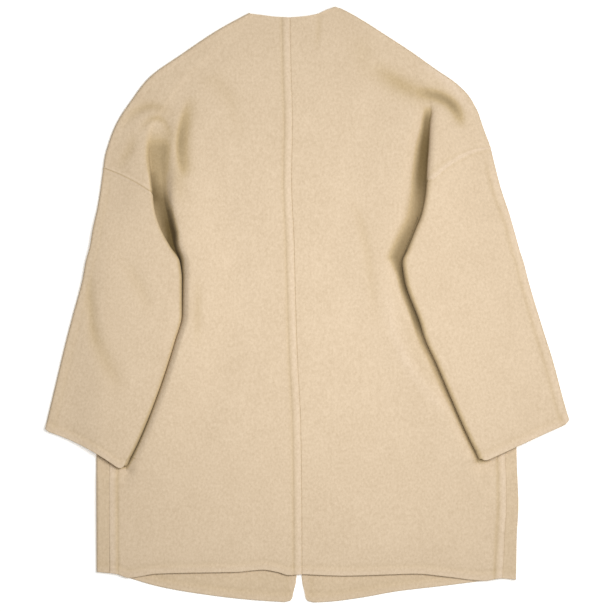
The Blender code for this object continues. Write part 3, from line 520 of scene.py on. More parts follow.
def fold_bend(half, y):
    """The bend at the inner fold: an arc up from the foot and an arc back to level, turning by the same
    angle. The upper arc's inmost point lies on the fold line."""
    foot = half.foot(y)
    ridge = half.ridge(y)
    turn = np.radians(half.turn(y))
    both = (ridge - foot) / (1.0 - np.cos(turn))
    lower_share = 1.0 - (ridge - SLEEVE_UNDER_LEVEL) / (ridge - foot)
    lower = both * np.clip(lower_share, LEAST_LOWER_BEND, MOST_LOWER_BEND)
    upper = both - lower
    past_upright = np.where(turn > np.pi / 2, upper * (1.0 - np.sin(turn)), 0.0)
    start = half.fold(y) + HALF_CLOTH + past_upright
    return Bend(turn, lower, upper, start, start - lower * np.sin(turn))


def sleeve_inner(half, y):
    """Distance out of the top of the inner fold's arc."""
    bend = fold_bend(half, y)
    return bend.start + bend.upper * np.sin(bend.turn)


def line_points(outs, ys, heights):
    """Rows of (out, y, height) from broadcast arrays."""
    return np.stack(np.broadcast_arrays(outs, ys, heights), axis=-1).astype(float)


def join_lines(first, *others):
    """Join stretches of rows, each of which starts where the one before it ends."""
    return np.concatenate((first, *(line[:, 1:] for line in others)), axis=1)


def lengths(points):
    """Length along each row from its start to each of its points."""
    step = np.linalg.norm(np.diff(points, axis=1), axis=2)
    return np.concatenate((np.zeros((len(points), 1)), np.cumsum(step, axis=1)), axis=1)


def whole(points):
    """Whole length of each row."""
    return lengths(points)[:, -1:]


def read_rows(at, places, values):
    """Values of each row at chosen places along it. The rows are laid end to end on one long line, so that one
    straight-line reading serves them all."""
    at = np.clip(at, 0.0, places[:, -1:])
    shift = np.arange(len(places))[:, None] * (places.max() + 1.0)
    where = (at + shift).ravel()
    line = (places + shift).ravel()
    read = [np.interp(where, line, values[..., axis].ravel()) for axis in range(values.shape[-1])]
    return np.stack(read, axis=-1).reshape(*at.shape, -1)


CUT_POINTS = 1200


def cut_rows(points, start, end):
    """The stretch of each row between two lengths along it, at fine even steps."""
    share = np.linspace(0.0, 1.0, CUT_POINTS)
    return read_rows(mix(start, end, share), lengths(points), points)


TURN_WEIGHT = 0.012
MOST_LIP = 0.4
TINY = 1e-9


def spread_rows(points, joints, counts, start_lips=(), end_lips=()):
    """Pick points along rows, a set number of steps on each stretch between the joints. They lie at set
    distances from both ends, and between these at even steps of length plus a weight for each turn."""
    along = lengths(points)
    step = np.diff(points, axis=1)
    size = np.linalg.norm(step, axis=2)
    heading = step / np.maximum(size, TINY)[..., None]
    bend = np.arccos(np.clip(np.sum(heading[:, 1:] * heading[:, :-1], axis=2), -1.0, 1.0))
    bend *= np.minimum(size[:, 1:], size[:, :-1]) > TINY
    weight = size.copy()
    weight[:, 1:] += TURN_WEIGHT / 2 * bend
    weight[:, :-1] += TURN_WEIGHT / 2 * bend
    measure = np.concatenate((np.zeros((len(points), 1)), np.cumsum(weight, axis=1)), axis=1)
    bounds = [np.zeros((len(points), 1)), *joints, along[:, -1:]]
    places = [bounds[0]]
    for number, steps in enumerate(counts):
        start, end = bounds[number], bounds[number + 1]
        near = np.array(start_lips if number == 0 else ())
        far = np.array(end_lips if number == len(counts) - 1 else ())
        widest = max((*near, *far, TINY))
        scale = np.minimum(1.0, MOST_LIP * (end - start) / widest)
        starts = start + near * scale
        ends = end - far[::-1] * scale
        first = np.concatenate((start, starts), axis=1)[:, -1:]
        last = np.concatenate((ends, end), axis=1)[:, :1]
        pair = read_rows(np.concatenate((first, last), axis=1), along, measure[..., None])[..., 0]
        share = np.linspace(0.0, 1.0, steps + 1 - len(near) - len(far))[1:-1]
        between = read_rows(mix(pair[:, :1], pair[:, 1:], share), measure, along[..., None])[..., 0]
        places += [starts, between, ends, end]
    return read_rows(np.concatenate(places, axis=1), along, points)


SLOPE_STEP = 0.002
STEEPEST_SHOULDER = 1.8


def shoulder_slant(half, y):
    """Length along a row for each unit square to the outline."""
    slope = (half.edge(y + SLOPE_STEP) - half.edge(y - SLOPE_STEP)) / (2 * SLOPE_STEP)
    return np.minimum(np.hypot(1.0, slope), STEEPEST_SHOULDER)


SEAM_GAP = 0.00006
EDGE_GAP = 0.00016
SHOULDER_REACH = 0.0014


def seam_gap(reach):
    """Gap at a seam along a turned edge: wider where the seam runs down round the edge itself."""
    return mix(EDGE_GAP, SEAM_GAP, ease((reach - EDGE_GAP) / SHOULDER_REACH))


NECK_FALL = 0.025
HEM_BLEND_FROM = -0.330
HEM_MIDDLE = 0.25


def row_y(half, hem, level, out):
    """Place up the coat of a row: its own level, bent to the neck line at the top and to its hem line at the bottom,
    each in proportion over the last stretch."""
    up = np.clip((level - half.neck_point + NECK_FALL) / NECK_FALL, 0.0, 1.0)
    middle = hem(HEM_MIDDLE)
    down = np.clip((HEM_BLEND_FROM - level) / (HEM_BLEND_FROM - middle), 0.0, 1.0)
    return level + up * (half.neck(out) - half.neck_point) + down * (hem(out) - middle)


# Even shares at which a stretch of a row and an arc of it are worked out.
EVEN = np.linspace(0.0, 1.0, 120)
ARC = np.linspace(0.0, 1.0, 40)

CUFF_CORNER = 0.075
CUFF_ROUND_FROM = 0.93


def sleeve_line(half, along, share):
    """Place across the sleeve at one station: share 0 on the outline, 1 at the top of the inner fold. The line
    bows as a parabola, to the neck at the armhole and by the cuff's own bow at the cuff, where its corners are
    round."""
    y_outer = mix(half.armhole.top, half.cuff.outer, along)
    y_inner = mix(half.armhole.inner, half.cuff.inner, along)
    bow = half.armhole.bow * (1 - along) ** 2 + half.cuff.bow * along ** 2
    near_cuff = ease((along - CUFF_ROUND_FROM) / (1 - CUFF_ROUND_FROM))
    outer_lift = half.cuff.outer_round * near_cuff * round_off(share / CUFF_CORNER)
    inner_lift = half.cuff.inner_round * near_cuff * round_off((1 - share) / CUFF_CORNER)
    y = mix(y_outer, y_inner, share) + bow * 4 * share * (1 - share) + outer_lift + inner_lift
    return mix(outline(half, y_outer + outer_lift), sleeve_inner(half, y_inner + inner_lift), share), y


def armhole_out(half, y):
    """Place of the visible armhole seam on a row between the shoulder line and the fold."""
    outs, ys = sleeve_line(half, 0.0, EVEN)
    return np.interp(y, ys[::-1], outs[::-1])


UNDERARM_INSET = 0.006


def hidden_armhole(half, y, top, top_out):
    """Hidden stretch of an armhole seam: straight from its top place to the underarm, then along the body's side."""
    under = half.armhole.under
    share = np.clip((top - y) / (top - under), 0.0, 1.0)
    straight = mix(top_out, body_side(half, under) - UNDERARM_INSET, share)
    return np.where(y < under, body_side(half, y) - UNDERARM_INSET, straight)


def back_armhole(half, y):
    """Armhole seam between back and sleeve, from where it has dived under the fold."""
    dive = half.armhole.dive
    return hidden_armhole(half, y, dive, fold_bend(half, dive).start)


NECK_DEPTH = 0.160
NECK_CURVE = 1.3
NECK_INSET = 0.012


def front_first(half, y):
    """Where a row of the front starts: on the front edge, or on the neckline, which runs up from it as a power of
    the height."""
    opening = half.sign * opening_x(y) + opening_half(y)
    up_neck = np.maximum(y - (half.neck_point - NECK_DEPTH), 0.0) / NECK_DEPTH
    return mix(opening, half.edge(half.neck_point) - NECK_INSET, up_neck ** NECK_CURVE)


def body_line(half, hem, level, last):
    """Rows of the back from the centre seam over the bank to its foot, and on to a last place."""
    start = half.sign * centre_x(level) + SEAM_GAP / 2
    foot = lip(half, level)
    crest = foot - half.bank(level)
    places = (mix(start, crest, EVEN), mix(crest, foot, np.sin(np.pi / 2 * EVEN)), mix(foot, last, EVEN))
    lines = []
    for outs in places:
        ys = row_y(half, hem, level, outs)
        lines.append(line_points(outs, ys, back_level(half, outs, ys)))
    return join_lines(*lines[:2]), lines[2]


def back_rise(half, hem, level):
    """Rows of the back from the centre seam to the foot of the fold, and up the bend to its top."""
    bend = fold_bend(half, level)
    body, beyond = body_line(half, hem, level, bend.foot_out)
    foot = beyond[:, -1:, 2]
    inner = sleeve_inner(half, level)
    ridge = upper_level(half, inner, row_y(half, hem, level, inner))
    stretch = (ridge - foot) / ((bend.lower + bend.upper) * (1 - np.cos(bend.turn)))
    angle = ARC * bend.turn
    outs = bend.foot_out + bend.lower * np.sin(angle)
    heights = foot + stretch * bend.lower * (1 - np.cos(angle))
    lower = line_points(outs, row_y(half, hem, level, outs), heights)
    angle = angle[:, ::-1]
    outs = bend.start + bend.upper * (np.sin(bend.turn) - np.sin(angle))
    heights = lower[:, -1:, 2] + stretch * bend.upper * (np.cos(angle) - np.cos(bend.turn))
    return body, beyond, lower, line_points(outs, row_y(half, hem, level, outs), heights)


Loop = namedtuple("Loop", "points bank floor seam gap")
EDGE_REACH = 0.0004
REACH_FADE = 0.050


def body_loop(half, hem, level, at_shoulder):
    """Rows round half the body, at the shoulder or below the underarm: from the centre seam out over the back,
    round the edge and along the floor to the front edge. They carry the lengths along them to the bank, the
    floor and the seam, and the gap there."""
    if at_shoulder:
        slant = shoulder_slant(half, level)
        last = outline(half, level) - (EDGE_LEVEL - FLOOR_LEVEL) / 2 * slant
        body, *rise = back_rise(half, hem, level)
        outs = mix(rise[-1][:, -1:, 0], last, EVEN)
        ys = row_y(half, hem, level, outs)
        above = join_lines(body, *rise, line_points(outs, ys, upper_level(half, outs, ys)))
        reach = mix(EDGE_REACH, SHOULDER_REACH, ease((level - half.armhole.top) / REACH_FADE)) * slant
    else:
        slant = 1.0
        last = body_side(half, level) - (half.foot(level) - FLOOR_LEVEL) / 2
        body, beyond = body_line(half, hem, level, last)
        above = join_lines(body, beyond)
        reach = half.reach(level)
    radius = (above[:, -1:, 2] - FLOOR_LEVEL) / 2
    angle = np.pi * ARC
    outs = last + radius * slant * np.sin(angle)
    turned = line_points(outs, row_y(half, hem, level, outs), FLOOR_LEVEL + radius * (1 + np.cos(angle)))
    outs = mix(last, front_first(half, level), EVEN)
    floor = line_points(outs, row_y(half, hem, level, outs), FLOOR_LEVEL)
    points = join_lines(above, turned, floor)
    to_floor = whole(above) + whole(turned)
    seam = whole(above) + whole(turned) / 2 - reach
    return Loop(points, whole(body), to_floor, seam, seam_gap(reach))


# Steps on each stretch of a back's row, distances from a seam and from an edge at which columns and rows lie, and
# the step between rows, which is fine beside the armhole.
BACK_STEPS = (84, 48)
SEAM_LIPS = (0.00006, 0.0002, 0.0004, 0.0007, 0.0012, 0.002, 0.003, 0.0045)
BAND_LIPS = (*SEAM_LIPS, 0.006, 0.0075, 0.0086, 0.0094, 0.0102, 0.0110, 0.0118, 0.0127, 0.0138, 0.0155)
EDGE_LIPS = np.array((
    0.0, 0.00012, 0.0004, 0.0008, 0.0013, 0.002, 0.003, 0.0042, 0.0056, 0.007, 0.0084, 0.0098, 0.0112, 0.0126,
    0.014, 0.0156, 0.0175, 0.02, 0.0225,
))
ROW_STEP = 0.0032
FINE_STEP = 0.0016


def even_places(start, end, step):
    """Places from start to end, both taken in, about a step apart."""
    return np.linspace(start, end, int(round(abs(end - start) / step)) + 1)


def side_levels(half, hem):
    """Levels of the rows from the underarm to a hem, close together at its turned edge."""
    bottom = hem(HEM_MIDDLE) + EDGE_LIPS[::-1]
    return np.concatenate((even_places(half.armhole.under, bottom[0], ROW_STEP)[:-1], bottom))[:, None]


def dive_share(half, y):
    """How far the armhole seam has gone down the fold: 0 at its top, 1 below it."""
    arm = half.armhole
    return np.clip((arm.inner - y) / (arm.inner - arm.dive), 0.0, 1.0)


# Gaps at the visible armhole seam and where it dives under the fold, the share of the fold's upper arc that it
# takes off at once, and the power by which it then runs down the lower arc.
ARMHOLE_GAP = 0.00003
DIVE_GAP = 0.0002
LEAST_TURN = 0.05
DIVE_POWER = 3.0


def back_zones(half):
    """The grid of one back, zone by zone: shoulder, beside the visible armhole seam, where that seam dives under
    the fold, under the fold, and from the underarm to the hem."""
    arm, hem = half.armhole, half.back_hem
    top = half.neck_point - EDGE_LIPS
    shoulder = np.concatenate((top, even_places(top[-1], arm.top + ARMHOLE_GAP, ROW_STEP)[1:]))[:, None]
    loop = body_loop(half, hem, shoulder, True)
    zones = [(cut_rows(loop.points, 0.0, loop.seam - loop.gap / 2), loop.bank)]

    seam = even_places(arm.top, arm.inner, FINE_STEP)[1:, None]
    body, *rise = back_rise(half, hem, seam)
    outs = mix(rise[-1][:, -1:, 0], armhole_out(half, seam - ARMHOLE_GAP), EVEN)
    cap = line_points(outs, seam, upper_level(half, outs, seam))
    zones.append((join_lines(body, *rise, cap), whole(body)))

    dive = even_places(arm.inner, arm.dive, FINE_STEP)[1:, None]
    body, beyond, lower, upper = back_rise(half, hem, dive)
    points = join_lines(body, beyond, lower, upper)
    share = dive_share(half, dive)
    cut = whole(upper) * mix(LEAST_TURN, 1.0, share) + whole(lower) * share ** DIVE_POWER
    zones.append((cut_rows(points, 0.0, whole(points) - cut - DIVE_GAP), whole(body)))

    under = even_places(arm.dive, arm.under, ROW_STEP)[1:-1, None]
    body, beyond = body_line(half, hem, under, back_armhole(half, under) - SEAM_GAP)
    points = join_lines(body, beyond)
    zones.append((cut_rows(points, 0.0, whole(points)), whole(body)))

    loop = body_loop(half, hem, side_levels(half, hem), False)
    zones.append((cut_rows(loop.points, 0.0, loop.seam - loop.gap / 2), loop.bank))
    return zones


def with_headings(zones, joined=0):
    """Join the zones of a grid, and give each point the direction across it, along its row, and down its column,
    taken apart in each zone but for the first columns, which run on from zone to zone."""
    points = np.concatenate(zones)
    across = np.concatenate([np.gradient(zone, axis=1) for zone in zones])
    down = np.concatenate([np.gradient(zone, axis=0) for zone in zones])
    if joined:
        down[:, :joined] = np.gradient(points[:, :joined], axis=0)
    return points, across, down


LEAST_BESIDE_SEAM = 0.032


def back_grid(half):
    """Points of one back and their two directions."""
    zones = []
    for points, bank in back_zones(half):
        joint = np.minimum(bank, whole(points) - LEAST_BESIDE_SEAM)
        zones.append(spread_rows(points, [joint], BACK_STEPS, BAND_LIPS, BAND_LIPS))
    return with_headings(zones, BACK_STEPS[0] - 2)


Edges = namedtuple("Edges", "start end top bottom")


def edge_distances(points):
    """Distance of each point of a grid from its four edges, along its row and its column."""
    row = lengths(points)
    col = lengths(points.swapaxes(0, 1)).T
    return Edges(row, row[:, -1:] - row, col, col[-1:] - col)


RIM = 0.0011
SEAM_RIM = 0.0010
BLUNT = 0.06


def rounded(distance, radius):
    """Share of the wall's half thickness near an edge: a quarter circle of that radius, blunt at its end."""
    return np.maximum(1.0 - round_off(distance / radius), BLUNT)


SEAM_DIP = 0.0005


def seam_dip(distance):
    """Depth of the cloth's edge beside a seam: a quarter circle down to the sewn line."""
    return SEAM_DIP * (1.0 - rounded(distance, SEAM_RIM))


BAND_WIDTH = 0.0124
BAND_RISE = 0.0006
BAND_POWER = 0.6
FELL_DEPTH = 0.00030
FELL_WIDTH = 0.0016


def felled_band(distance):
    """Height of a felled seam allowance under the cloth: a low rounded band beside the seam, with a soft groove
    where its edge is sewn down."""
    band = BAND_RISE * np.sin(np.pi * np.clip(distance / BAND_WIDTH, 0.0, 1.0)) ** BAND_POWER
    return band - FELL_DEPTH * bell(distance - BAND_WIDTH, FELL_WIDTH)


HEM_WIDTH = 0.0135
HEM_RISE = 0.00055
HEM_SLOPE = 0.0060
HEM_FELL = 0.00022
HEM_FELL_WIDTH = 0.0032


def turned_hem(distance):
    """Height of a turned and felled edge: a soft swell along the edge that ends in a shallow sewn groove."""
    swell = HEM_RISE * ease((HEM_WIDTH - distance) / HEM_SLOPE)
    return swell - HEM_FELL * bell(distance - HEM_WIDTH, HEM_FELL_WIDTH)


def raised(wall, relief):
    """Distance of the outer sheet from the middle of the cloth: the wall and its relief, which ends at the rim."""
    return wall + relief * (wall > HALF_CLOTH / 2)


def add_cloth(name, grid, sign, faces_up, outer_rise, inner_rise, painted_shade):
    """Give a grid of points its wall: each point moves both ways along the normal, the cross product of its two
    directions. The two sheets and the rim between them make one closed shell, with its UV map in metres and its
    painted shade, darker in dips, grooves and creases and lighter on crests."""
    points, across, down = (part * (sign, 1.0, 1.0) for part in grid)
    normal = np.cross(across, down)
    normal /= np.maximum(np.linalg.norm(normal, axis=2, keepdims=True), TINY)
    flip = (normal[..., 2].sum() > 0) != faces_up
    if flip:
        normal = -normal
    outer = points + normal * outer_rise[..., None]
    inner = points - normal * inner_rise[..., None]
    rows, columns = points.shape[:2]
    count = rows * columns
    index = np.arange(count).reshape(rows, columns)
    quads = np.stack((index[:-1, :-1], index[:-1, 1:], index[1:, 1:], index[1:, :-1]), axis=-1).reshape(-1, 4)
    rim = np.concatenate((index[0, :-1], index[:-1, -1], index[-1, :0:-1], index[:0:-1, 0]))
    after = np.roll(rim, -1)
    walls = np.stack((rim, rim + count, after + count, after), axis=-1)
    faces = np.concatenate((quads, quads[:, ::-1] + count, walls))
    if flip:
        faces = faces[:, ::-1]
    mesh = bpy.data.meshes.new(name)
    mesh.from_pydata(np.concatenate((outer.reshape(-1, 3), inner.reshape(-1, 3))), [], faces)
    mesh.shade_smooth()
    edges = edge_distances(grid[0])
    places = np.stack((edges.start, edges.top), axis=-1).reshape(-1, 2)
    vertex = np.empty(len(mesh.loops), np.int32)
    mesh.loops.foreach_get("vertex_index", vertex)
    mesh.uv_layers.new(name="cloth").data.foreach_set("uv", np.concatenate((places, places))[vertex].ravel())
    # Painted shade and painted highlights, one value a point, for the material's tint.
    shade = mesh.attributes.new("painted_shade", "FLOAT", "POINT")
    shade.data.foreach_set("value", np.tile(np.broadcast_to(painted_shade, (rows, columns)).ravel(), 2))
    piece = bpy.data.objects.new(name, mesh)
    bpy.context.scene.collection.objects.link(piece)
    return piece


# Painted shade and painted highlight beside seams: the line, the groove at the fell and the crest between.
LINE_SHADE = 0.06
LINE_WIDTH = 0.0011
FELL_SHADE = 0.10
FELL_SPREAD = 0.0030
BAND_LIGHT = 0.06
BAND_CREST = 0.0040
BAND_SPREAD = 0.0032


def seam_shade(distance, felled, line=1.0):
    """Painted shade beside a seam: a fine dark line on it, and where it is felled a painted highlight on the crest and
    then a soft painted shade in the groove at the sewn edge of the allowance."""
    groove = FELL_SHADE * bell(distance - BAND_WIDTH, FELL_SPREAD)
    crest = BAND_LIGHT * bell(distance - BAND_CREST, BAND_SPREAD)
    return line * LINE_SHADE * bell(distance, LINE_WIDTH) + (groove - crest) * felled


# Painted shade and painted highlight of turned edges.
HEM_GROOVE_SHADE = 0.035
HEM_GROOVE_SPREAD = 0.0040
HEM_LIGHT = 0.05
HEM_CREST = 0.0035
HEM_SPREAD = 0.0030


def hem_shade(distance):
    """Painted shade of a turned edge: a painted highlight on its crest and a faint painted shade in its sewn groove.
    """
    groove = HEM_GROOVE_SHADE * bell(distance - HEM_WIDTH, HEM_GROOVE_SPREAD)
    return groove - HEM_LIGHT * bell(distance - HEM_CREST, HEM_SPREAD)


LEAST_FLOOR = 0.004


def back_painted_shade(half, out, y):
    """Painted shade of the back beside the sleeve: full at the foot of the bank, fading up it as a soft step, and with
    its own share at the fold across the floor between them. It changes evenly across the floor, or as a square where
    the fold is the lighter side. On the fold it fades out as a soft step."""
    inside = lip(half, y) - out
    up = 1.0 - ease((inside - half.floor(y)) / half.fade(y))
    at_fold = half.across(y)
    share = np.clip(-inside / np.maximum(half.inset(y), LEAST_FLOOR), 0.0, 1.0)
    across = mix(1.0, at_fold, np.where(at_fold < 1.0, share ** 2, share))
    past_fold = ease((half.fold(y) + half.over(y) - out) / half.over(y))
    return half.shade(y) * np.where(inside > 0, up, across) * past_fold


def set_inputs(node, **values):
    """Set the named inputs of a node, with _ in the place of spaces."""
    for name, value in values.items():
        node.inputs[name.replace("_", " ")].default_value = value


# The noises of the wool: how it is drawn out along each axis, its detail and its roughness. Then their weights in
# the colour and in the height, and the range of grain that is spread from the dark to the light fibre.
FIBRE = ((1500.0, 520.0, 1500.0), 3.0, 0.6)
FLECK = ((300.0, 230.0, 300.0), 2.0, 0.6)
TONE = ((26.0, 18.0, 26.0), 2.0, 0.5)
COLOUR_WEIGHTS = (0.34, 0.52, 0.14)
HEIGHT_WEIGHTS = (0.5, 0.5)
GRAIN_RANGE = (0.33, 0.67)


def wool_group():
    """Shader group of napped wool. Drawn-out noise makes fibres that lie along the nap, rounder noise makes the
    felted flecks, and wide noise makes uneven tone. It puts out a colour and a height."""
    group = bpy.data.node_groups.new("napped_wool", "ShaderNodeTree")
    for name, way, kind in (
        ("Place", "INPUT", "Vector"),
        ("Light fibre", "INPUT", "Color"),
        ("Dark fibre", "INPUT", "Color"),
        ("Color", "OUTPUT", "Color"),
        ("Height", "OUTPUT", "Float"),
    ):
        group.interface.new_socket(name, in_out=way, socket_type="NodeSocket" + kind)
    nodes, links = group.nodes, group.links
    entry = nodes.new("NodeGroupInput")
    leave = nodes.new("NodeGroupOutput")

    def noise(stretch, detail, roughness):
        drawn = nodes.new("ShaderNodeVectorMath")
        drawn.operation = "MULTIPLY"
        drawn.inputs[1].default_value = stretch
        links.new(entry.outputs["Place"], drawn.inputs[0])
        grain = nodes.new("ShaderNodeTexNoise")
        set_inputs(grain, Scale=1.0, Detail=detail, Roughness=roughness)
        links.new(drawn.outputs[0], grain.inputs["Vector"])
        return grain.outputs["Fac"]

    def weighed(parts, weights):
        total = None
        for value, weight in zip(parts, weights):
            scaled = nodes.new("ShaderNodeMath")
            scaled.operation = "MULTIPLY_ADD"
            scaled.inputs[1].default_value = weight
            scaled.inputs[2].default_value = 0.0
            links.new(value, scaled.inputs[0])
            if total is not None:
                links.new(total, scaled.inputs[2])
            total = scaled.outputs[0]
        return total

    fibre, fleck, tone = noise(*FIBRE), noise(*FLECK), noise(*TONE)
    spread = nodes.new("ShaderNodeMapRange")
    set_inputs(spread, From_Min=GRAIN_RANGE[0], From_Max=GRAIN_RANGE[1])
    links.new(weighed((fibre, fleck, tone), COLOUR_WEIGHTS), spread.inputs["Value"])
    blend = nodes.new("ShaderNodeMix")
    blend.data_type = "RGBA"
    links.new(spread.outputs["Result"], blend.inputs["Factor"])
    links.new(entry.outputs["Dark fibre"], blend.inputs["A"])
    links.new(entry.outputs["Light fibre"], blend.inputs["B"])
    links.new(blend.outputs["Result"], leave.inputs["Color"])
    links.new(weighed((fibre, fleck), HEIGHT_WEIGHTS), leave.inputs["Height"])
    return group


napped_wool = wool_group()

WOOL_CREAM = (0.816, 0.662, 0.506, 1.0)
WOOL_TAN = (0.653, 0.513, 0.369, 1.0)
# Tints of the painted shade by its value: none at 0, a pale brown in half shade, a dark olive in the deepest hollow.
SHADE_TINTS = ((0.0, (1.0, 1.0, 1.0, 1.0)), (0.35, (0.75, 0.71, 0.56, 1.0)), (1.0, (0.20, 0.17, 0.09, 1.0)))
WOOL_ROUGHNESS = 0.92
WOOL_SPECULAR = 0.15
WOOL_SHEEN = 0.12
WOOL_SHEEN_ROUGHNESS = 0.45
WOOL_SHEEN_TINT = (1.0, 0.95, 0.88, 1.0)
NAP_STRENGTH = 0.45
NAP_DISTANCE = 0.0004


def wool_material(name, nap_turn):
    """Beige wool whose nap runs down the panel, turned by an angle about the vertical. The mesh's painted shade
    attribute is turned into a tint that multiplies its colour: painted shade in dips and painted highlights on crests."""
    material = bpy.data.materials.new(name)
    material.use_nodes = True
    nodes, links = material.node_tree.nodes, material.node_tree.links
    shader = nodes["Principled BSDF"]
    place = nodes.new("ShaderNodeTexCoord")
    turn = nodes.new("ShaderNodeMapping")
    set_inputs(turn, Rotation=(0.0, 0.0, nap_turn))
    links.new(place.outputs["Object"], turn.inputs["Vector"])
    wool = nodes.new("ShaderNodeGroup")
    wool.node_tree = napped_wool
    set_inputs(wool, Light_fibre=WOOL_CREAM, Dark_fibre=WOOL_TAN)
    links.new(turn.outputs["Vector"], wool.inputs["Place"])
    # The painted shade attribute: painted shade in hollows, grooves and creases, painted highlights on crests.
    painted_shade = nodes.new("ShaderNodeAttribute")
    painted_shade.attribute_name = "painted_shade"
    tints = nodes.new("ShaderNodeValToRGB")
    tints.color_ramp.elements.new(SHADE_TINTS[1][0])
    for stop, (position, tint) in zip(tints.color_ramp.elements, SHADE_TINTS):
        stop.position = position
        stop.color = tint
    links.new(painted_shade.outputs["Fac"], tints.inputs["Fac"])
    shaded = nodes.new("ShaderNodeMix")
    shaded.data_type = "RGBA"
    shaded.blend_type = "MULTIPLY"
    set_inputs(shaded, Factor=1.0)
    links.new(wool.outputs["Color"], shaded.inputs["A"])
    links.new(tints.outputs["Color"], shaded.inputs["B"])
    links.new(shaded.outputs["Result"], shader.inputs["Base Color"])
    nap = nodes.new("ShaderNodeBump")
    set_inputs(nap, Strength=NAP_STRENGTH, Distance=NAP_DISTANCE)
    links.new(wool.outputs["Height"], nap.inputs["Height"])
    links.new(nap.outputs["Normal"], shader.inputs["Normal"])
    set_inputs(shader, Roughness=WOOL_ROUGHNESS, Specular_IOR_Level=WOOL_SPECULAR, Sheen_Weight=WOOL_SHEEN)
    set_inputs(shader, Sheen_Roughness=WOOL_SHEEN_ROUGHNESS, Sheen_Tint=WOOL_SHEEN_TINT)
    return material


body_wool = wool_material("body_wool", 0.0)


def sew_in(piece, node, material):
    """Give a panel its wool, hide the solid part of the same name, and set the panel in the frame under the root body.
    """
    piece.data.materials.append(material)
    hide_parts(node)
    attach(piece, "root")


# The armhole seam of each half: share of the dip at its line, painted shade of the line, place and strength of the
# painted highlight on the crest beside it, and painted shade of the groove beyond.
ArmholeSeam = namedtuple("ArmholeSeam", "dip line crest light groove")
ARMHOLE_SEAMS = {
    "left": ArmholeSeam(0.6, 0.16, 0.0034, 0.05, 0.02),
    "right": ArmholeSeam(0.1, 0.00, 0.0009, 0.10, 0.05),
}
ARMHOLE_RISE = 0.0006
ARMHOLE_RIDGE = 0.0012
ARMHOLE_RIDGE_WIDTH = 0.0028
ARMHOLE_LINE_WIDTH = 0.0012
ARMHOLE_CREST_WIDTH = 0.0018
ARMHOLE_GROOVE = 0.0060
ARMHOLE_GROOVE_WIDTH = 0.0022


def armhole_rise(distance):
    """Height of the ridge that the allowance raises beside the armhole seam: a bell a little off the seam."""
    return ARMHOLE_RISE * bell(distance - ARMHOLE_RIDGE, ARMHOLE_RIDGE_WIDTH)


def armhole_shade(seam, distance):
    """Painted shade beside an armhole seam: a bell for its line, one for the painted highlight on the crest, one for
    the groove beyond.
    """
    line = seam.line * bell(distance, ARMHOLE_LINE_WIDTH)
    crest = seam.light * bell(distance - seam.crest, ARMHOLE_CREST_WIDTH)
    return line - crest + seam.groove * bell(distance - ARMHOLE_GROOVE, ARMHOLE_GROOVE_WIDTH)


# Plain painted shade of the backs' cloth, which leaves room for painted highlights on crests. Then strengths of
# the band, line and dip at the side seam, of the shoulder's band and of the neck's turned edge, the part of a row's
# length that lies square to the armhole seam, and how far below the fold's top that seam still counts.
FLAT_SHADE = 0.10
SIDE_FELL = 1.3
SIDE_LINE = 0.3
SIDE_DIP = 0.5
SHOULDER_FELL = 0.35
NECK_TURN = 0.5
ARMHOLE_SLANT = 0.47
ARMHOLE_SLACK = 0.001

for half in (LEFT, RIGHT):
    grid = back_grid(half)
    edges = edge_distances(grid[0])
    out, y = grid[0][..., 0], grid[0][..., 1]
    end_y = y[:, -1:]
    at_side = end_y < half.armhole.under
    at_armhole = (end_y < half.armhole.top) & (end_y > half.armhole.inner - ARMHOLE_SLACK)
    felled = np.where(at_side, 1.0, SHOULDER_FELL * (end_y > half.armhole.top + REACH_FADE))
    centre_felled = half.name == "left"
    seam = ARMHOLE_SEAMS[half.name]
    from_armhole = ARMHOLE_SLANT * edges.end
    wall = HALF_CLOTH * rounded(edges.top, RIM) * rounded(edges.bottom, RIM)
    relief = felled_band(edges.end) * felled + turned_hem(edges.bottom) + NECK_TURN * turned_hem(edges.top)
    relief += felled_band(edges.start) * centre_felled + armhole_rise(from_armhole) * at_armhole
    relief -= seam_dip(edges.start) + seam_dip(edges.end) * np.where(at_armhole, seam.dip, SIDE_DIP)
    # Painted shade of the back: seam lines, fell grooves, hems, creases and the hollow beside the sleeve, less painted
    # highlights on crests.
    shade = FLAT_SHADE + seam_shade(edges.start, centre_felled) + hem_shade(edges.bottom)
    shade += seam_shade(edges.end, SIDE_FELL, SIDE_LINE) * at_side + armhole_shade(seam, from_armhole) * at_armhole
    shade += creased(CREASES, half, out, y, "shade") + back_painted_shade(half, out, y)
    node = "back_" + half.name
    shade = np.clip(shade, 0.0, 1.0)
    piece = add_cloth("cloth_" + node, grid, half.sign, True, raised(wall, relief), wall, shade)
    sew_in(piece, node, body_wool)

# ------------------------------------------------------------------------------------------------ The two fronts
# Each front is one panel of the same wool and lies on the floor under the back. It turns up round the shoulder
# line and the side edge to the seams on the upper side, and shows below the back's hem.

# Creases of the under side: the cloth lifts a little off the floor along them, where the back stands clear of it, and
# they carry a faint painted shade.
FRONT_CREASES = {
    "left": (
        Crease((0.040, 0.210), (0.058, 0.070), (0.046, -0.110), 0.0120, 0.0150, 0.0018, 0.05),
        Crease((0.120, -0.030), (0.098, -0.160), (0.122, -0.290), 0.0140, 0.0110, 0.0015, 0.05),
        Crease((0.135, 0.240), (0.104, 0.170), (0.100, 0.070), 0.0120, 0.0120, 0.0012, 0.04),
    ),
    "right": (
        Crease((0.030, 0.160), (0.052, 0.020), (0.040, -0.150), 0.0150, 0.0120, 0.0016, 0.05),
        Crease((0.112, -0.050), (0.098, -0.165), (0.076, -0.280), 0.0120, 0.0150, 0.0015, 0.05),
        Crease((0.072, 0.270), (0.092, 0.185), (0.076, 0.090), 0.0120, 0.0120, 0.0012, 0.04),
    ),
}
FRONT_STEPS = (46, 30)
FRONT_LAST = 0.009


def front_armhole(half, y):
    """Armhole seam on the floor side, from the shoulder point."""
    return hidden_armhole(half, y, half.armhole.top, half.armhole.front_out)


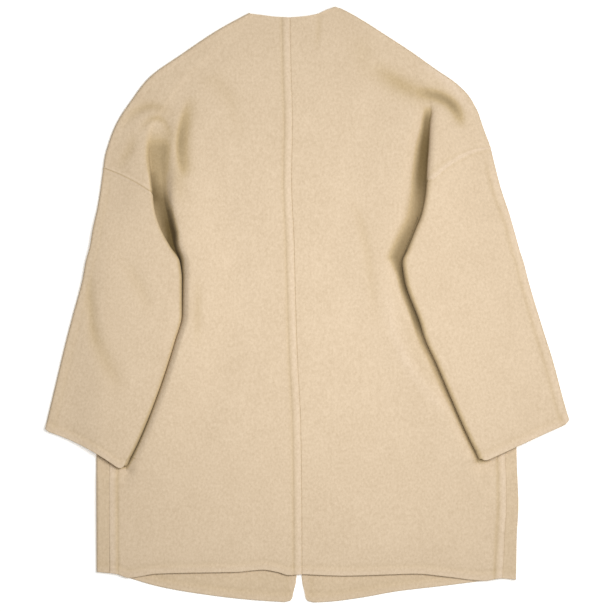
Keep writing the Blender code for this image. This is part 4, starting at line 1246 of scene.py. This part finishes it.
def front_grid(half):
    """Points of one front and their two directions: rows at the shoulder, beside the armhole, and from the
    underarm to the hem, each from the front edge along the floor and round the outer edge."""
    arm, hem = half.armhole, half.front_hem
    zones = []
    shoulder = even_places(half.neck_point - SEAM_GAP, arm.top + ARMHOLE_GAP, ROW_STEP)[:, None]
    for level, at_shoulder in ((shoulder, True), (side_levels(half, hem), False)):
        loop = body_loop(half, hem, level, at_shoulder)
        total = whole(loop.points)
        points = cut_rows(loop.points, total, loop.seam + loop.gap / 2)
        zones.append(spread_rows(points, [total - loop.floor], FRONT_STEPS, SEAM_LIPS, SEAM_LIPS))
    beside = even_places(arm.top, arm.under, ROW_STEP)[1:-1, None]
    outs = mix(front_first(half, beside), front_armhole(half, beside) - SEAM_GAP, EVEN)
    points = line_points(outs, beside, FLOOR_LEVEL)
    zones.insert(1, spread_rows(points, [whole(points) - FRONT_LAST], FRONT_STEPS, SEAM_LIPS, SEAM_LIPS))
    for zone in zones:
        zone[..., 2] += creased(FRONT_CREASES, half, zone[..., 0], zone[..., 1], "depth")
    return with_headings(zones)


FRONT_CORNER = 0.011
CORNER_HEIGHT = 0.033


def round_corner(points):
    """Round the lower corner at the front edge: rows near the hem rise as a quarter circle near the edge."""
    lift = FRONT_CORNER * round_off((points[..., 0] - points[:, :1, 0]) / FRONT_CORNER)
    low = ease((points[-1, 0, 1] + CORNER_HEIGHT - points[..., 1]) / CORNER_HEIGHT)
    on_floor = points[..., 2] < CLOTH
    points[..., 1] += lift * low * on_floor


# Plain painted shade of the fronts, darker than the backs' as shade where they lie low under the back.
FRONT_SHADE = 0.15

for half in (LEFT, RIGHT):
    grid = front_grid(half)
    round_corner(grid[0])
    edges = edge_distances(grid[0])
    out, y, height = np.moveaxis(grid[0], -1, 0)
    wall = HALF_CLOTH * rounded(edges.bottom, RIM) * rounded(edges.start, RIM)
    outer = wall - SIDE_DIP * seam_dip(edges.end)
    inner = raised(wall, turned_hem(edges.bottom) * (height < CLOTH))
    # Painted shade of the front: its plain shade, the side seam's line, the hems and the creases, less painted
    # highlights on crests.
    shade = FRONT_SHADE + seam_shade(edges.end, 0.0, SIDE_LINE) + hem_shade(edges.bottom) + hem_shade(edges.start)
    shade += creased(FRONT_CREASES, half, out, y, "shade")
    node = "front_" + half.name
    piece = add_cloth("cloth_" + node, grid, half.sign, False, outer, inner, shade)
    sew_in(piece, node, body_wool)

# ------------------------------------------------------------------------------------------------ The two sleeves
# Each sleeve is an upper and an under panel of the same wool, sewn into a tube with a felled seam along its outer
# edge and set in at the armhole. It lies over the side of the body, folded along its inner edge.

# The step of the under cloth up on to the body: its width, how far outside the side edge it starts, the stretch down
# the coat over which it comes in, and how far above the underarm that ends.
SLEEVE_DROP = 0.038
SLEEVE_DROP_START = 0.033
UNDERARM_LIFT = 0.025
UNDERARM_EARLY = 0.014


def under_level(half, out, y):
    """Height of the sleeve's under cloth: on the floor outside the body, on the back over it."""
    over_body = ease((half.side(y) + SLEEVE_DROP_START - out) / SLEEVE_DROP)
    below_arm = ease((half.armhole.under + UNDERARM_EARLY + UNDERARM_LIFT - y) / UNDERARM_LIFT)
    return FLOOR_LEVEL + (SLEEVE_UNDER_LEVEL - FLOOR_LEVEL) * over_body * below_arm


def share_at(half, along, line):
    """Share of each station's width at which it crosses a line along the coat."""
    outs, ys = sleeve_line(half, along, EVEN)
    apart = (outs - line(half, ys))[:, ::-1]
    first = apart[:, :1]
    back = np.broadcast_to(EVEN[::-1], apart.shape)
    return read_rows(-first, apart - first, back[..., None])[..., 0]


SleeveLoop = namedtuple("SleeveLoop", "points floor fold bulb seam gap")
SLEEVE_REACH_FADE = 0.15
TUCK_GAP = 0.0030
SHORTEST_TUCK = 0.002


def sleeve_loop(half, along, tucked):
    """Rows round a sleeve at some stations: from the hidden edge of the under cloth out to the outer edge, over
    the top, round the inner fold, and back under where the armhole seam has dived. They carry the lengths along
    them to the outer edge's turn, the top and the foot of the fold and the outer seam, and the gap there."""
    edge_out, edge_y = sleeve_line(half, along, 0.0)
    inner_out, inner_y = sleeve_line(half, along, 1.0)
    width = np.hypot(inner_out - edge_out, inner_y - edge_y)
    start = (EDGE_LEVEL - FLOOR_LEVEL) / 2 / width
    outs, ys = sleeve_line(half, along, mix(start, 1.0, EVEN))
    top = line_points(outs, ys, upper_level(half, outs, ys))
    first = share_at(half, along, front_armhole) - SEAM_GAP / width
    outs, ys = sleeve_line(half, along, mix(first, start, EVEN))
    under = line_points(outs, ys, under_level(half, outs, ys))
    radius = (top[:, :1, 2] - under[:, -1:, 2]) / 2
    angle = np.pi * ARC
    outs, ys = sleeve_line(half, along, start * (1 - np.sin(angle)))
    edge = line_points(outs, ys, under[:, -1:, 2] + radius * (1 - np.cos(angle)))

    y, height = top[:, -1:, 1], top[:, -1:, 2]
    bend = fold_bend(half, y)
    angle = ARC * bend.turn * mix(LEAST_TURN, 1.0, dive_share(half, y))
    radius = (height - SLEEVE_UNDER_LEVEL) / 2 if tucked else bend.upper
    bulb = line_points(top[:, -1:, 0] - bend.upper * np.sin(angle), y, height - radius * (1 - np.cos(angle)))
    pieces = [under, edge, top, bulb]
    if tucked:
        last = share_at(half, along, back_armhole) + TUCK_GAP / width
        last = np.minimum(last, 1.0 - SHORTEST_TUCK / width)
        outs, ys = sleeve_line(half, along, mix(1.0, last, EVEN))
        pieces.append(line_points(outs, ys, SLEEVE_UNDER_LEVEL))
    reach = mix(EDGE_REACH, SHOULDER_REACH, ease(along / SLEEVE_REACH_FADE))
    seam = whole(under) + whole(edge) / 2 + reach
    fold = whole(under) + whole(edge) + whole(top)
    return SleeveLoop(join_lines(*pieces), whole(under), fold, fold + whole(bulb), seam, seam_gap(reach))


SLEEVE_STEP = 0.0024


def sleeve_stations(half):
    """Stations down the sleeve, before and after the armhole seam has dived under the fold."""
    arm = half.armhole
    length = arm.inner - half.cuff.inner
    dived = (arm.inner - arm.dive) / length
    lips = EDGE_LIPS / length
    last = 1.0 - lips[::-1]
    middle = even_places(dived, last[0], SLEEVE_STEP / length)
    return lips[lips < dived][:, None], np.concatenate((middle[:-1], last))[:, None]


SLEEVE_BACK_STEPS = (64, 18, 8)
SLEEVE_FRONT_STEPS = (14, 26)
BULB_SHARE = 0.6
MOST_BULB = 0.96


def sleeve_grids(half):
    """Points of the upper and the under panel of one sleeve, each with its two directions."""
    upper_zones, under_zones = [], []
    for along, tucked in zip(sleeve_stations(half), (False, True)):
        loop = sleeve_loop(half, along, tucked)
        total = whole(loop.points)
        start = loop.seam + loop.gap / 2
        bulb = loop.bulb if tucked else mix(loop.fold, total, mix(BULB_SHARE, MOST_BULB, along / along[-1]))
        points = cut_rows(loop.points, start, total)
        upper_zones.append(spread_rows(points, [loop.fold - start, bulb - start], SLEEVE_BACK_STEPS, BAND_LIPS))
        points = cut_rows(loop.points, 0.0, loop.seam - loop.gap / 2)
        under_zones.append(spread_rows(points, [loop.floor], SLEEVE_FRONT_STEPS, (), SEAM_LIPS))
    return with_headings(upper_zones), with_headings(under_zones)


# Each sleeve's wool with its own turn of the nap, how strongly its outer seam is felled and its edge given painted
# shade, and how far and how strongly the painted shade of the hollow runs on over its fold, low and high on the coat.
sleeve_wool = {
    "left": wool_material("left_sleeve_wool", 0.16),
    "right": wool_material("right_sleeve_wool", -0.24),
}
SLEEVE_FELL = {"left": 0.3, "right": 0.9}
EDGE_SHADE = {"left": 0.03, "right": 0.0}
EDGE_SHADE_WIDTH = 0.020
FOLD_SHADE_WIDTH = {"left": 0.0055, "right": 0.0092}
LOWER_FOLD_SHADE = 0.8
UPPER_FOLD_SHADE = 0.3
FOLD_SHADE_FROM = 0.03
FOLD_SHADE_OVER = 0.08

for half in (LEFT, RIGHT):
    upper, under = sleeve_grids(half)
    edges = edge_distances(upper[0])
    out, y = upper[0][..., 0], upper[0][..., 1]
    felled = SLEEVE_FELL[half.name] * ease(edges.top / REACH_FADE)
    seam = ARMHOLE_SEAMS[half.name]
    wall = HALF_CLOTH * rounded(edges.bottom, RIM)
    relief = felled_band(edges.start) * felled + turned_hem(edges.bottom) + armhole_rise(edges.top)
    relief -= seam_dip(edges.start) + seam.dip * seam_dip(edges.top)
    # Painted shade on the sleeve: seam lines, fell groove, hems, creases, the left outer edge and the fold by the
    # hollow, less painted highlights.
    shade = FLAT_SHADE + seam_shade(edges.start, 1.0) * felled + hem_shade(edges.bottom)
    shade += armhole_shade(seam, edges.top) + creased(CREASES, half, out, y, "shade")
    shade += EDGE_SHADE[half.name] * (1.0 - ease(edges.start / EDGE_SHADE_WIDTH))
    strength = mix(LOWER_FOLD_SHADE, UPPER_FOLD_SHADE, ease((y - FOLD_SHADE_FROM) / FOLD_SHADE_OVER))
    shade += strength * half.shade(y) * (1.0 - ease((out - half.fold(y)) / FOLD_SHADE_WIDTH[half.name]))
    node = "sleeve_back_" + half.name
    shade = np.clip(shade, 0.0, 1.0)
    piece = add_cloth("cloth_" + node, upper, half.sign, True, raised(wall, relief), wall, shade)
    sew_in(piece, node, sleeve_wool[half.name])

    edges = edge_distances(under[0])
    wall = HALF_CLOTH * rounded(edges.bottom, RIM)
    node = "sleeve_front_" + half.name
    piece = add_cloth("cloth_" + node, under, half.sign, False, wall - seam_dip(edges.end), wall, FLAT_SHADE)
    sew_in(piece, node, sleeve_wool[half.name])

# ------------------------------------------------------------------------------------------------ Floor, light, camera
# A plain white floor, a wide softbox from the upper right, a small one close above the coat, a pale fill all round,
# and a camera straight above.

FLOOR_HALF = 14.0
FLOOR_SINK = 0.0003
FLOOR_WHITE = (0.93, 0.93, 0.93, 1.0)
FLOOR_GLOW = 0.40

floor_mesh = bpy.data.meshes.new("floor")
corners = np.array(((-1, -1), (1, -1), (1, 1), (-1, 1))) * FLOOR_HALF
floor_mesh.from_pydata([(x, y, -FLOOR_SINK) for x, y in corners], [], [(0, 1, 2, 3)])
floor = bpy.data.objects.new("floor", floor_mesh)
bpy.context.scene.collection.objects.link(floor)
floor_paint = bpy.data.materials.new("floor_white")
floor_paint.use_nodes = True
paint = floor_paint.node_tree.nodes["Principled BSDF"]
set_inputs(paint, Base_Color=FLOOR_WHITE, Roughness=1.0, Specular_IOR_Level=0.0)
set_inputs(paint, Emission_Color=FLOOR_WHITE, Emission_Strength=FLOOR_GLOW)
floor_mesh.materials.append(floor_paint)

# Softboxes: name, place, power in watts and width. Each is turned to the origin.
SOFTBOXES = (
    ("key", (2.30, 1.10, 3.75), 88.0, 2.6),
    ("sky", (0.09, -0.01, 0.95), 5.9, 0.6),
)

for name, place, power, width in SOFTBOXES:
    lamp = bpy.data.lights.new(name, "AREA")
    lamp.energy = power
    lamp.shape = "DISK"
    lamp.size = width
    softbox = bpy.data.objects.new(name, lamp)
    softbox.location = place
    tilt = np.arctan2(np.hypot(place[0], place[1]), place[2])
    softbox.rotation_euler = (tilt, 0.0, np.arctan2(place[0], -place[1]))
    bpy.context.scene.collection.objects.link(softbox)

FILL = (1.0, 0.97, 0.88, 1.0)
FILL_STRENGTH = 0.24

world = bpy.data.worlds.new("studio")
world.use_nodes = True
set_inputs(world.node_tree.nodes["Background"], Color=FILL, Strength=FILL_STRENGTH)
bpy.context.scene.world = world
bpy.context.scene.view_settings.view_transform = "Standard"

# Size of a pixel on the coat, pixels along the picture's longer side, and the picture's middle and the coat's origin
# in pixels.
PIXEL = 0.0015
FRAME_PIXELS = 612
PHOTO_MIDDLE = (305.5, 306.0)
COAT_ORIGIN = (307.5, 304.75)
CAMERA_HEIGHT = 5.0
SENSOR = 36.0

camera = bpy.data.cameras.new("camera")
camera.sensor_width = SENSOR
camera.lens = SENSOR * (CAMERA_HEIGHT - EDGE_LEVEL) / (FRAME_PIXELS * PIXEL)
camera_object = bpy.data.objects.new("camera", camera)
across = (PHOTO_MIDDLE[0] - COAT_ORIGIN[0]) * PIXEL
up = (COAT_ORIGIN[1] - PHOTO_MIDDLE[1]) * PIXEL
camera_object.location = (across, up, CAMERA_HEIGHT)
bpy.context.scene.collection.objects.link(camera_object)
bpy.context.scene.camera = camera_object
